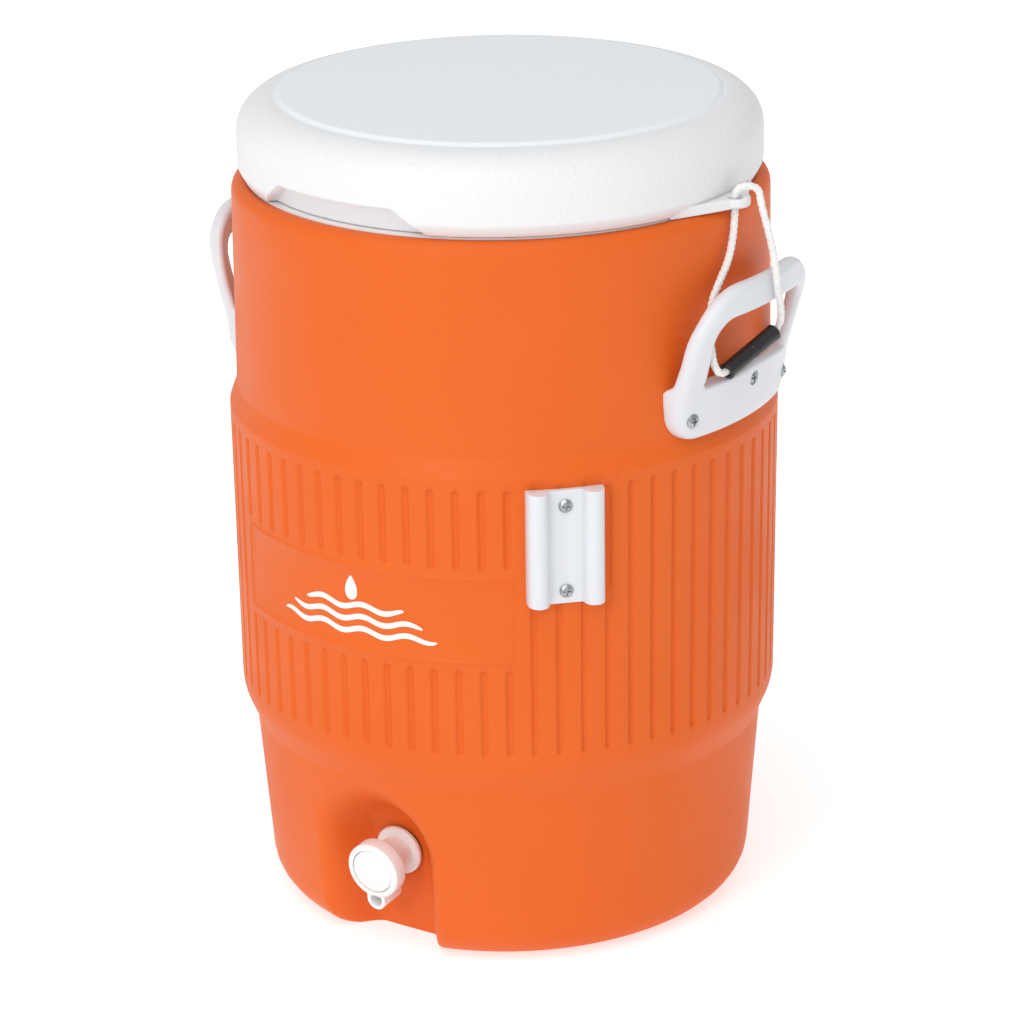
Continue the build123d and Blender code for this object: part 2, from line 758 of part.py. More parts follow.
with BuildPart() as spigot_button:
    with BuildSketch(spigot_section):
        with BuildLine():
            Polyline(
                (BUTTON_TOP, 0), (BUTTON_FROM, 0), (BUTTON_FROM, BUTTON_R), (BUTTON_RIM_TO, BUTTON_R)
            )
            TangentArc((BUTTON_TOP, 0), (BUTTON_RIM_TO, BUTTON_R), tangent=(0, 1))
        make_face()
    revolve(axis=spigot_axis)
    with BuildSketch(spigot_plane.offset(BUTTON_FROM)):
        Circle(STEM_R)
    extrude(amount=STEM_GRIP, mode=Mode.SUBTRACT)
finish(spigot_button, "spigot_button", WHITE)

with BuildPart() as spigot_stem:
    with BuildSketch(spigot_plane.offset(SEAT_BACK - SEAL)):
        Circle(STEM_R)
    extrude(amount=BUTTON_FROM + STEM_GRIP - SEAT_BACK + SEAL)
finish(spigot_stem, "spigot_stem", WHITE)

with BuildPart() as spigot_valve_seal:
    with BuildSketch(spigot_plane.offset(SEAT_BACK - SEAL)):
        Circle(SEAL_R)
        Circle(STEM_R, mode=Mode.SUBTRACT)
    extrude(amount=SEAL)
finish(spigot_valve_seal, "spigot_valve_seal", RUBBER)

SPRING_R = 5.0
SPRING_WIRE_R = 0.35
SPRING_LOW = GLAND_TO + SPRING_WIRE_R
SPRING_HIGH = BUTTON_FROM - SPRING_WIRE_R
SPRING_TURNS = 2.5
with BuildPart() as spigot_spring:
    with BuildLine():
        coil = Helix(
            pitch=(SPRING_HIGH - SPRING_LOW) / SPRING_TURNS,
            height=SPRING_HIGH - SPRING_LOW,
            radius=SPRING_R,
            center=spigot_plane.origin + spigot_plane.z_dir * SPRING_LOW,
            direction=spigot_plane.z_dir,
        )
    with BuildSketch(Plane(origin=coil @ 0, z_dir=coil % 0)):
        Circle(SPRING_WIRE_R)
    sweep()
finish(spigot_spring, "spigot_spring", STEEL)

with BuildPart() as spigot_outer_gasket:
    with BuildSketch(spigot_plane):
        Circle(COLLAR_R - 1.0)
        Circle(SHANK_R, mode=Mode.SUBTRACT)
    extrude(amount=GASKET)
finish(spigot_outer_gasket, "spigot_outer_gasket", RUBBER)

INSIDE = -TUB_SETBACK - WALL
with BuildPart() as spigot_inner_gasket:
    with BuildSketch(spigot_plane.offset(INSIDE)):
        Circle(COLLAR_R - 1.0)
        Circle(SHANK_R, mode=Mode.SUBTRACT)
    extrude(amount=-GASKET)
finish(spigot_inner_gasket, "spigot_inner_gasket", RUBBER)

NUT = 7.0
with BuildPart() as spigot_nut:
    with BuildSketch(spigot_plane.offset(INSIDE - GASKET)):
        RegularPolygon(radius=15.5, side_count=6)
        Circle(SHANK_R, mode=Mode.SUBTRACT)
    extrude(amount=-NUT)
finish(spigot_nut, "spigot_nut", WHITE)

# ---- tether ----

# The rope's way, from the right end of its joining tube, up in front of the handle's bar, over
# the lid's eye and down through it, then down behind the bar to the tube's left end.
ROPE_ROUTE = [
    (180.2, 4.6, 373.8),
    (181.4, 9.6, 375.7),
    (184.0, 11.0, 381.5),
    (187.0, 5.5, 391.0),
    (188.4, 0.0, 400.5),
    (188.3, -2.5, 412.0),
    (185.5, -1.5, 426.0),
    (180.0, 1.0, 439.5),
    (174.4, 3.6, 451.5),
    (172.2, 4.2, 462.0),
    (162.2, -4.8, 462.2),
    (162.0, -4.6, 448.5),
    (162.9, -8.0, 434.0),
    (164.6, -16.0, 422.0),
    (165.2, -28.0, 412.0),
    (164.8, -36.2, 402.0),
    (165.8, -39.6, 388.0),
    (168.3, -41.8, 375.0),
    (169.6, -40.3, 365.5),
    (170.8, -34.5, 358.85),
    (172.6, -27.0, 361.7),
]
SHORT_RUN_SHARE = 0.45
rope_points = [Vector(*p) for p in ROPE_ROUTE]
rope_radii = []
for before, corner, after in zip(rope_points, rope_points[1:], rope_points[2:]):
    turn = radians((corner - before).get_angle(after - corner))
    shorter = min((corner - before).length, (after - corner).length)
    rope_radii.append(SHORT_RUN_SHARE * shorter / tan(turn / 2))
print("rope radii", [round(r, 1) for r in rope_radii])

with BuildPart() as tether_rope:
    with BuildLine() as rope_line:
        FilletPolyline(*rope_points, radius=rope_radii)
    with BuildSketch(Plane(origin=rope_points[0], z_dir=rope_points[1] - rope_points[0])):
        Circle(ROPE_D / 2)
    sweep()
rope_length = sum(edge.length for edge in rope_line.edges())
expected = pi * (ROPE_D / 2) ** 2 * rope_length
print(f"rope is {rope_length:.1f} mm long, its volume {tether_rope.part.volume:.0f} of {expected:.0f}")
finish(tether_rope, "tether_rope", WHITE)

# The tube that joins the rope's two ends: flared at both, with a socket for each.
tube_from = rope_points[-1]
tube_to = rope_points[0]
tube_dir = (tube_to - tube_from).normalized()
tube_length = (tube_to - tube_from).length
SOCKET = 4.0
with BuildPart() as rope_connector:
    with BuildSketch(Plane(origin=tube_from - tube_dir * SOCKET, z_dir=tube_dir)):
        Circle(CONNECTOR_R)
    extrude(amount=tube_length + 2 * SOCKET)
    for end, way in ((tube_from, -1), (tube_to, 1)):
        with BuildSketch(Plane(origin=end, z_dir=tube_dir * way)):
            Circle(ROPE_D / 2 + 0.6)
        extrude(amount=SOCKET, mode=Mode.SUBTRACT)
finish(rope_connector, "rope_connector", BLACK)
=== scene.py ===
# %% [markdown]
# # An insulated water jug
# A five gallon drinks jug: a moulded orange body round a white tub, a white lid to sit on, two
# white handles, a cup bracket, a push-button spigot in a niche, and a rope loop that keeps the lid.
# The working parts come from the CAD frame. This lesson gives them their finish, and builds the
# large mouldings again as surfaces with soft edges, because a moulded edge is never sharp.

import math

import bmesh
import bpy
import numpy as np
from mathutils import Matrix, Vector


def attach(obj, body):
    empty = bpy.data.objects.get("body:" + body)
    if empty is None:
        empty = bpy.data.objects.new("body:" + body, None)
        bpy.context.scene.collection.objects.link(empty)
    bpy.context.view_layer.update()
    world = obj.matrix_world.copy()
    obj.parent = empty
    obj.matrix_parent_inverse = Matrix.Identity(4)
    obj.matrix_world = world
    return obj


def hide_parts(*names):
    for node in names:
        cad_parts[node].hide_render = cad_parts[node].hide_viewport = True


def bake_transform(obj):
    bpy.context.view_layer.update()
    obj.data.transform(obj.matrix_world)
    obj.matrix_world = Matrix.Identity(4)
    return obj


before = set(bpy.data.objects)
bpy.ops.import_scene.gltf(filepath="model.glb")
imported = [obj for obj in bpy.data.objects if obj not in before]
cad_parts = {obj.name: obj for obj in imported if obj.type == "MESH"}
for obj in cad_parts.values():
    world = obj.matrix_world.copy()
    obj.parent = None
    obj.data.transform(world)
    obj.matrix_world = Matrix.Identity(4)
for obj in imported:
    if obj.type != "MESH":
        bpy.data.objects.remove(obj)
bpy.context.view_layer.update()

# %% [markdown]
# ## The camera
# A long lens stands well back and looks down by twenty degrees, so that the lid's top shows as a
# flat ellipse and the upright sides hardly converge. A camera looks along its own -Z, so its
# matrix is put together from three unit vectors: right, up and backwards.

# %% Camera
CAMERA_PLACE = (1.23202, -1.88272, 1.06478)
CAMERA_TURN = math.radians(33.1047)
CAMERA_DIP = math.radians(20.29)
CAMERA_ROLL = -0.014779
CAMERA_LENS = 138.23

scene = bpy.context.scene
turn, dip = CAMERA_TURN, CAMERA_DIP
forward = Vector(
    (-math.sin(turn) * math.cos(dip), math.cos(turn) * math.cos(dip), -math.sin(dip))
)
level_right = Vector((math.cos(turn), math.sin(turn), 0))
level_up = level_right.cross(forward)
right = math.cos(CAMERA_ROLL) * level_right + math.sin(CAMERA_ROLL) * level_up
up = math.cos(CAMERA_ROLL) * level_up - math.sin(CAMERA_ROLL) * level_right
lens = bpy.data.cameras.new("camera")
lens.sensor_width = 36
lens.lens = CAMERA_LENS
camera = bpy.data.objects.new("camera", lens)
axes = Matrix((right, up, -forward)).transposed().to_4x4()
camera.matrix_world = Matrix.Translation(CAMERA_PLACE) @ axes
scene.collection.objects.link(camera)
scene.camera = camera
print("camera looks along", [round(c, 3) for c in forward])

# %% [markdown]
# ## Helpers
# Shapes are worked out in millimetres, as a moulder's drawing has them, and each surface is turned
# into metres once, when its mesh is made. A point of the jug is an azimuth, counted from the front
# towards the right handle, a distance from the axis, and a height.

# %% Points and curves
MM = 0.001


def polar(azimuth, radius, height):
    """x = r sin(a), y = -r cos(a), z: a point at azimuth a degrees, in millimetres."""
    azimuth, radius, height = np.broadcast_arrays(np.radians(azimuth), radius, height)
    return np.stack([radius * np.sin(azimuth), -radius * np.cos(azimuth), height], -1)


def smooth_step(x, low, high):
    """0 below low, 1 above high, and 3t^2 - 2t^3 between them."""
    t = np.clip((x - low) / (high - low), 0, 1)
    return t * t * (3 - 2 * t)


def soft_min(a, b, width):
    """The smaller of two distances, with a round changeover where they differ by under width."""
    near = np.maximum(width - np.abs(a - b), 0) / width
    return np.minimum(a, b) - near * near * width / 4


def rounded(corners, radii, steps=6):
    """A chain of straight runs whose inner corners are arcs: each arc touches both of its runs
    at a distance of radius * tan(turn / 2) from the corner."""
    corners = np.asarray(corners, float)
    made = [corners[:1]]
    for before, corner, after, radius in zip(corners, corners[1:], corners[2:], radii):
        way_in = (corner - before) / np.linalg.norm(corner - before)
        way_out = (after - corner) / np.linalg.norm(after - corner)
        angle = math.acos(np.clip(way_in @ way_out, -1, 1))
        inwards = (way_out - way_in) / np.linalg.norm(way_out - way_in)
        centre = corner + inwards * radius / math.cos(angle / 2)
        start = corner - way_in * radius * math.tan(angle / 2) - centre
        side = way_in * radius
        t = np.linspace(0, angle, steps + 1)[:, None]
        made.append(centre + start * np.cos(t) + side * np.sin(t))
    made.append(corners[-1:])
    return np.concatenate(made)


def along(curve):
    """Distance along a chain of points, from its first one."""
    return np.concatenate([[0], np.cumsum(np.linalg.norm(np.diff(curve, axis=0), axis=1))])


def with_levels(curve, levels):
    """The same curve with extra points where its second coordinate passes the given levels."""
    s = along(curve)
    extra = np.interp(levels, curve[:, 1], s)
    every = np.unique(np.round(np.concatenate([s, extra]), 2))
    return np.stack([np.interp(every, s, curve[:, k]) for k in (0, 1)], -1)


# %% [markdown]
# A surface is a grid of points, row by row. Its quads are numbered with whole arrays and poured
# into the mesh at once. A grid can close round in either direction, and rows that shrink to a
# point close a pole. The sign of the enclosed volume tells whether the faces look outwards.

# %% Meshes from grids
def signed_volume(points, quads):
    """Sum of a . (b x c) / 6 over the two triangles of every quad."""
    a, b, c, d = (points[quads[:, k]] for k in range(4))
    both = np.einsum("ij,ij->i", a, np.cross(b, c)) + np.einsum("ij,ij->i", a, np.cross(c, d))
    return both.sum() / 6


def grid_quads(rows, columns, around, closed):
    """Corner numbers of the quads between neighbouring rows and columns."""
    i = np.arange(rows if closed else rows - 1)[:, None]
    j = np.arange(columns if around else columns - 1)[None, :]
    i2, j2 = (i + 1) % rows, (j + 1) % columns
    corners = [i * columns + j, i * columns + j2, i2 * columns + j2, i2 * columns + j]
    return np.stack(corners, -1).reshape(-1, 4)


def surface(name, points, around=True, closed=True, uv=None):
    """An object from a grid of points in millimetres, merged where the grid meets itself."""
    points = np.asarray(points, float)
    rows, columns = points.shape[:2]
    flat = points.reshape(-1, 3)
    quads = grid_quads(rows, columns, around, closed)
    if signed_volume(flat, quads) < 0:
        quads = quads[:, ::-1]
    mesh = bpy.data.meshes.new(name)
    mesh.vertices.add(len(flat))
    mesh.vertices.foreach_set("co", (flat * MM).ravel())
    mesh.loops.add(quads.size)
    mesh.loops.foreach_set("vertex_index", quads.ravel().astype(np.int32))
    mesh.polygons.add(len(quads))
    mesh.polygons.foreach_set("loop_start", np.arange(len(quads), dtype=np.int32) * 4)
    mesh.update(calc_edges=True)
    if uv is not None:
        layer = mesh.uv_layers.new(name="around_and_along")
        layer.data.foreach_set("uv", uv.reshape(-1, 2)[quads.ravel()].ravel())
    work = bmesh.new()
    work.from_mesh(mesh)
    bmesh.ops.remove_doubles(work, verts=work.verts, dist=1e-6)
    work.to_mesh(mesh)
    work.free()
    mesh.shade_smooth()
    piece = bpy.data.objects.new(name, mesh)
    scene.collection.objects.link(piece)
    print(name, "vertices", len(mesh.vertices), "faces", len(mesh.polygons))
    return piece


def sharpen(piece, degrees=35):
    """Keeps edges that turn more than this many degrees crisp in the shading."""
    piece.data.set_sharp_from_angle(angle=math.radians(degrees))


# %% [markdown]
# ## Finishes
# Every plastic here shows the same two things close up: a fine grain from the mould, and slight
# changes of tone and gloss from handling. Each is one node group, placed in each material with
# its own values. The groups read Object coordinates, so a pattern stays on its piece.

# %% Node helpers
def new_group(name, inputs, outputs):
    """An empty shader node group with float or colour sockets."""
    group = bpy.data.node_groups.new(name, "ShaderNodeTree")
    for label, kind, value in inputs:
        socket = group.interface.new_socket(label, in_out="INPUT", socket_type=kind)
        socket.default_value = value
    for label, kind in outputs:
        group.interface.new_socket(label, in_out="OUTPUT", socket_type=kind)
    return group, group.nodes.new("NodeGroupInput"), group.nodes.new("NodeGroupOutput")


def node(tree, kind, links=(), **values):
    """A node with its settings and inputs set, and its inputs linked."""
    made = tree.nodes.new(kind)
    for key, value in values.items():
        if key.startswith("in_"):
            made.inputs[int(key[3:])].default_value = value
        else:
            setattr(made, key, value)
    for source, slot in links:
        tree.links.new(source, made.inputs[slot])
    return made


def maths(tree, operation, a, b=0.0, clamp=False):
    """One Math node, whose two inputs are links or numbers."""
    made = tree.nodes.new("ShaderNodeMath")
    made.operation = operation
    made.use_clamp = clamp
    for slot, value in enumerate((a, b)):
        if isinstance(value, (int, float)):
            made.inputs[slot].default_value = value
        else:
            tree.links.new(value, made.inputs[slot])
    return made.outputs[0]


FLOAT, COLOUR = "NodeSocketFloat", "NodeSocketColor"


def build_grain():
    """Height = small round cells minus their edges, broken up by noise: a spark-eroded mould."""
    group, start, end = new_group(
        "moulded_grain",
        [("Size in mm", FLOAT, 1.4), ("Roundness", FLOAT, 0.5)],
        [("Height", FLOAT)],
    )
    place = group.nodes.new("ShaderNodeTexCoord")
    per_metre = maths(group, "DIVIDE", 1000.0, start.outputs["Size in mm"])
    spot = [(place.outputs["Object"], "Vector")]
    cells = node(group, "ShaderNodeTexVoronoi", spot, feature="SMOOTH_F1")
    group.links.new(per_metre, cells.inputs["Scale"])
    cells.inputs["Smoothness"].default_value = 0.6
    noise = node(group, "ShaderNodeTexNoise", [(place.outputs["Object"], "Vector")])
    group.links.new(per_metre, noise.inputs["Scale"])
    noise.inputs["Detail"].default_value = 2.0
    bumps = maths(group, "SUBTRACT", 1.0, cells.outputs["Distance"])
    rounded_part = maths(group, "MULTIPLY", bumps, start.outputs["Roundness"])
    height = maths(group, "ADD", rounded_part, noise.outputs["Fac"])
    group.links.new(height, end.inputs["Height"])
    return group


def build_tone():
    """Colour = base mixed a little towards a second tone by broad soft noise, with faint specks;
    Gloss = 0 to 1 patches where hands have polished the surface."""
    group, start, end = new_group(
        "handled_tone",
        [
            ("Base", COLOUR, (0.8, 0.8, 0.8, 1)),
            ("Second", COLOUR, (0.7, 0.7, 0.7, 1)),
            ("Patch size in mm", FLOAT, 60.0),
            ("Amount", FLOAT, 0.3),
        ],
        [("Colour", COLOUR), ("Gloss", FLOAT)],
    )
    place = group.nodes.new("ShaderNodeTexCoord")
    broad_scale = maths(group, "DIVIDE", 1000.0, start.outputs["Patch size in mm"])
    broad = node(group, "ShaderNodeTexNoise", [(place.outputs["Object"], "Vector")])
    group.links.new(broad_scale, broad.inputs["Scale"])
    broad.inputs["Detail"].default_value = 3.0
    fine = node(group, "ShaderNodeTexNoise", [(place.outputs["Object"], "Vector")])
    fine.inputs["Scale"].default_value = 900.0
    fine.inputs["Detail"].default_value = 1.0
    spread = node(group, "ShaderNodeMapRange", [(broad.outputs["Fac"], 0)], in_1=0.35, in_2=0.65)
    specks = node(group, "ShaderNodeMapRange", [(fine.outputs["Fac"], 0)], in_1=0.62, in_2=0.8)
    mixed = maths(group, "ADD", spread.outputs[0], specks.outputs[0], clamp=True)
    share = maths(group, "MULTIPLY", mixed, start.outputs["Amount"])
    tone = node(group, "ShaderNodeMix", data_type="RGBA")
    group.links.new(share, tone.inputs[0])
    group.links.new(start.outputs["Base"], tone.inputs[6])
    group.links.new(start.outputs["Second"], tone.inputs[7])
    group.links.new(tone.outputs[2], end.inputs["Colour"])
    group.links.new(spread.outputs[0], end.inputs["Gloss"])
    return group


GRAIN = build_grain()
TONE = build_tone()


def plastic(name, base, second, rough, grain_mm, bump, patch_mm, amount, metal=0.0):
    """A moulded finish: tone into the colour and roughness, grain into the bump."""
    material = bpy.data.materials.new(name)
    material.use_nodes = True
    tree = material.node_tree
    shader = tree.nodes["Principled BSDF"]
    tone = node(tree, "ShaderNodeGroup", node_tree=TONE)
    tone.inputs["Base"].default_value = (*base, 1)
    tone.inputs["Second"].default_value = (*second, 1)
    tone.inputs["Patch size in mm"].default_value = patch_mm
    tone.inputs["Amount"].default_value = amount
    grain = node(tree, "ShaderNodeGroup", node_tree=GRAIN)
    grain.inputs["Size in mm"].default_value = grain_mm
    bump_node = node(tree, "ShaderNodeBump", [(grain.outputs["Height"], "Height")])
    bump_node.inputs["Strength"].default_value = 1.0
    bump_node.inputs["Distance"].default_value = bump * MM
    rough_map = node(tree, "ShaderNodeMapRange", [(tone.outputs["Gloss"], 0)])
    rough_map.inputs[3].default_value = rough * 0.88
    rough_map.inputs[4].default_value = min(rough * 1.12, 1.0)
    tree.links.new(tone.outputs["Colour"], shader.inputs["Base Color"])
    tree.links.new(rough_map.outputs[0], shader.inputs["Roughness"])
    tree.links.new(bump_node.outputs[0], shader.inputs["Normal"])
    shader.inputs["Metallic"].default_value = metal
    return material


# %% [markdown]
# The body is rotation-moulded polyethylene, which comes out with an orange-peel grain and a soft
# sheen. The lid is the same plastic in white with a coarser, pebbled grain on its sides. Handles
# and spigot are injection moulded, so they are smoother and a little glossier.

# %% Materials
ORANGE = plastic("orange_moulding", (0.745, 0.124, 0.010), (0.70, 0.112, 0.008), 0.5, 1.3, 0.24, 90, 0.3)
ORANGE_SHEEN = 0.28  # polyethylene has a dull skin
ORANGE.node_tree.nodes["Principled BSDF"].inputs["Specular IOR Level"].default_value = ORANGE_SHEEN
LID_SIDE = plastic("white_pebbled", (0.785, 0.79, 0.80), (0.75, 0.76, 0.775), 0.5, 2.2, 0.34, 120, 0.25)
LID_TOP = plastic("white_seat", (0.815, 0.85, 0.88), (0.78, 0.81, 0.84), 0.42, 1.4, 0.05, 120, 0.3)
WHITE = plastic("white_injection", (0.705, 0.725, 0.76), (0.665, 0.69, 0.73), 0.33, 0.8, 0.02, 40, 0.25)
LINER = plastic("white_liner_plastic", (0.86, 0.86, 0.85), (0.82, 0.82, 0.80), 0.38, 1.0, 0.02, 70, 0.25)
SPIGOT = plastic("spigot_plastic", (0.84, 0.835, 0.83), (0.80, 0.79, 0.785), 0.36, 0.7, 0.02, 25, 0.25)
STEEL = plastic("zinc_steel", (0.46, 0.48, 0.49), (0.32, 0.34, 0.35), 0.32, 0.5, 0.015, 3, 0.5, metal=1.0)
RUBBER = plastic("black_rubber", (0.03, 0.03, 0.032), (0.045, 0.045, 0.045), 0.6, 0.6, 0.03, 20, 0.4)
TUBE = plastic("black_tube_vinyl", (0.012, 0.012, 0.014), (0.022, 0.022, 0.025), 0.36, 0.9, 0.03, 14, 0.4)
FOAM = plastic("poured_foam", (0.80, 0.70, 0.42), (0.72, 0.60, 0.33), 0.85, 1.1, 0.12, 30, 0.4)

FINISH_OF_NODE = {
    "insulation_foam": FOAM,
    "lid_foam": FOAM,
    "inner_liner": LINER,
    "lid_pan": LINER,
    "handle_screws_left": STEEL,
    "handle_screws_right": STEEL,
    "cup_bracket_screws": STEEL,
    "spigot_spring": STEEL,
    "spigot_outer_gasket": RUBBER,
    "spigot_inner_gasket": RUBBER,
    "spigot_valve_seal": RUBBER,
    "spigot_gland": SPIGOT,
    "spigot_stem": SPIGOT,
    "spigot_nut": SPIGOT,
    "outer_shell": ORANGE,
    "lid_shell": LID_SIDE,
    "handle_left": WHITE,
    "handle_right": WHITE,
    "cup_bracket": WHITE,
    "spigot_body": SPIGOT,
    "spigot_button": SPIGOT,
    "tether_rope": WHITE,
    "rope_connector": TUBE,
}
for name, finish in FINISH_OF_NODE.items():
    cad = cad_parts[name]
    cad.data.materials.clear()
    cad.data.materials.append(finish)
print("finishes", len(set(FINISH_OF_NODE.values())))

# %% [markdown]
# ## The tether
# A white braided cord ties the lid to the right handle. It runs from its black joining tube up in
# front of the handle's bar, over and through the eye of the lid, and back down behind the bar.
# The centre line is a NURBS curve through a listed route. Eight strands then spiral round it,
# four each way, and pass over and under each other, as they do on a braiding machine.

# %% The rope's line
ROPE_ROUTE = (
    (0.1802, 0.0046, 0.3738),
    (0.1814, 0.0096, 0.3757),
    (0.1840, 0.0110, 0.3815),
    (0.1870, 0.0055, 0.3910),
    (0.1884, 0.0000, 0.4005),
    (0.1883, -0.0025, 0.4120),
    (0.1855, -0.0015, 0.4260),
    (0.1800, 0.0010, 0.4395),
    (0.1744, 0.0036, 0.4515),
    (0.1722, 0.0042, 0.4620),
    (0.1622, -0.0048, 0.4622),
    (0.1620, -0.0046, 0.4485),
    (0.1629, -0.0080, 0.4340),
    (0.1646, -0.0160, 0.4220),
    (0.1652, -0.0280, 0.4120),
    (0.1648, -0.0362, 0.4020),
    (0.1658, -0.0396, 0.3880),
    (0.1683, -0.0418, 0.3750),
    (0.1696, -0.0403, 0.3655),
    (0.1708, -0.0345, 0.35885),
    (0.1726, -0.0270, 0.3617),
)
ROPE_D = 0.0046


def nurbs_points(route, fineness=12):
    """Points of the smooth curve that has the route's points as its controls."""
    curve = bpy.data.curves.new("rope_line", "CURVE")
    curve.dimensions = "3D"
    curve.resolution_u = fineness
    spline = curve.splines.new("NURBS")
    spline.points.add(len(route) - 1)
    spline.points.foreach_set("co", np.insert(np.array(route), 3, 1.0, axis=1).ravel())
    spline.order_u = 3
    spline.use_endpoint_u = True
    line = bpy.data.objects.new("rope_line", curve)
    mesh = bpy.data.meshes.new_from_object(line)
    made = np.zeros(len(mesh.vertices) * 3)
    mesh.vertices.foreach_get("co", made)
    bpy.data.objects.remove(line)
    bpy.data.meshes.remove(mesh)
    return made.reshape(-1, 3)


rope_line = nurbs_points(ROPE_ROUTE)

# %% [markdown]
# The strands need a direction across the rope at every point that doesn't spin about it. Each
# frame is the last one with the turn of the line taken out, which is a short chain of steps, so
# this is the one place where a loop walks along the points.

# %% Braid
STRANDS = 8
STRAND_TURN_MM = 13.0
STRAND_SIDES = 8
STRAND_STEPS = 520


def carried_frames(points):
    """Tangent, and two directions across it that turn as little as possible along the line."""
    tangent = np.gradient(points, axis=0)
    tangent /= np.linalg.norm(tangent, axis=1)[:, None]
    across = np.zeros_like(points)
    last = np.cross(tangent[0], (0.0, 0.0, 1.0))
    for i, t in enumerate(tangent):
        last = last - t * (last @ t)
        last = last / np.linalg.norm(last)
        across[i] = last
    return tangent, across, np.cross(tangent, across)


def braid(name, line, diameter):
    """Strand k lies at angle phase + hand * 2 pi s / pitch round the line, at a distance that
    swings by half its own thickness each time it crosses a strand of the other hand."""
    s = along(line) / MM
    even = np.linspace(0, s[-1], STRAND_STEPS)
    centre = np.stack([np.interp(even, s, line[:, k]) for k in range(3)], -1) / MM
    tangent, side, other = carried_frames(centre)
    strand_r = diameter / MM * 0.17
    ring_r = diameter / MM / 2 - strand_r * 1.05
    per_hand = STRANDS // 2
    parts = []
    for k in range(STRANDS):
        hand = 1 if k < per_hand else -1
        phase = 2 * math.pi * (k % per_hand) / per_hand
        angle = phase + hand * 2 * math.pi * even / STRAND_TURN_MM
        start_of_swing = (0 if hand > 0 else math.pi) + math.pi * (k % 2)
        swing = np.cos(per_hand * 2 * math.pi * even / STRAND_TURN_MM + start_of_swing)
        distance = ring_r - 0.10 * strand_r + 0.28 * strand_r * swing
        out = side * np.cos(angle)[:, None] + other * np.sin(angle)[:, None]
        path = centre + out * distance[:, None]
        run = np.gradient(path, axis=0)
        run /= np.linalg.norm(run, axis=1)[:, None]
        wide = np.cross(run, out)
        turn_round = np.linspace(0, 2 * math.pi, STRAND_SIDES, endpoint=False)
        ring = (
            path[:, None]
            + out[:, None] * np.cos(turn_round)[None, :, None] * strand_r * 0.9
            + wide[:, None] * np.sin(turn_round)[None, :, None] * strand_r * 1.35
        )
        first = path[:1, None].repeat(STRAND_SIDES, 1)
        last = path[-1:, None].repeat(STRAND_SIDES, 1)
        parts.append(np.concatenate([first, ring, last]))
    work = bmesh.new()
    for k, part in enumerate(parts):
        strand = surface(f"{name}_strand_{k}", part, around=True, closed=False)
        work.from_mesh(strand.data)
        spent = strand.data
        bpy.data.objects.remove(strand)
        bpy.data.meshes.remove(spent)
    mesh = bpy.data.meshes.new(name)
    work.to_mesh(mesh)
    work.free()
    mesh.shade_smooth()
    made = bpy.data.objects.new(name, mesh)
    scene.collection.objects.link(made)
    return made


ROPE_FINISH = plastic("braided_white", (0.86, 0.855, 0.84), (0.72, 0.71, 0.69), 0.72, 0.35, 0.09, 6, 0.35)
rope = braid("tether_braid", rope_line, ROPE_D)
rope.data.materials.append(ROPE_FINISH)
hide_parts("tether_rope")
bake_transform(rope)

# %% [markdown]
# The rope's ends are pushed into a short vinyl tube. It is cut square, flares a little where the
# rope goes in, and has a moulding seam at its middle. A profile turned about the tube's own axis
# gives all of that.

# %% Joining tube
def turned(name, profile, start, direction, sides=48):
    """A profile (distance from the line, distance along it) carried round a straight line."""
    start, direction = np.asarray(start, float), np.asarray(direction, float)
    direction = direction / np.linalg.norm(direction)
    side = np.cross(direction, (0.0, 0.0, 1.0) if abs(direction[2]) < 0.9 else (1.0, 0.0, 0.0))
    side /= np.linalg.norm(side)
    other = np.cross(direction, side)
    angle = np.linspace(0, 2 * math.pi, sides, endpoint=False)
    out = side * np.cos(angle)[:, None] + other * np.sin(angle)[:, None]
    points = start + direction * profile[:, None, 1:] + out[None] * profile[:, None, :1]
    return surface(name, points, around=True, closed=True)


TUBE_R = 5.2
TUBE_SOCKET = 4.0
TUBE_BORE_R = ROPE_D / MM / 2 + 0.6
tube_start = np.array(ROPE_ROUTE[-1]) / MM
tube_end = np.array(ROPE_ROUTE[0]) / MM
tube_way = (tube_end - tube_start) / np.linalg.norm(tube_end - tube_start)
tube_length = np.linalg.norm(tube_end - tube_start) + 2 * TUBE_SOCKET
middle = tube_length / 2
half_profile = rounded(
    [
        (0.0, TUBE_SOCKET),
        (TUBE_BORE_R, TUBE_SOCKET),
        (TUBE_BORE_R, 0.0),
        (TUBE_R, 0.0),
        (TUBE_R - 0.35, 3.5),
        (TUBE_R - 0.35, middle - 0.9),
        (TUBE_R - 0.75, middle - 0.35),
        (TUBE_R - 0.75, middle),
    ],
    [0.3, 0.5, 0.7, 4.0, 0.3, 0.2],
)
other_half = half_profile[::-1] * (1, -1) + (0, tube_length)
tube_profile = np.concatenate([half_profile, other_half])
tube = turned("rope_tube", tube_profile, tube_start - tube_way * TUBE_SOCKET, tube_way)
tube.data.materials.append(TUBE)
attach(tube, "root")
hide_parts("rope_connector")

# %% [markdown]
# ## The body's skin
# The shell is one surface: a profile turned about the axis, with grooves pressed in round the
# band, a raised frame for the label, and a niche scooped out for the spigot. In polar form each
# of those is only a change of the radius, so the skin is r(azimuth, height). The columns follow
# the grooves: nine to a pitch, crowded where the groove's walls are.

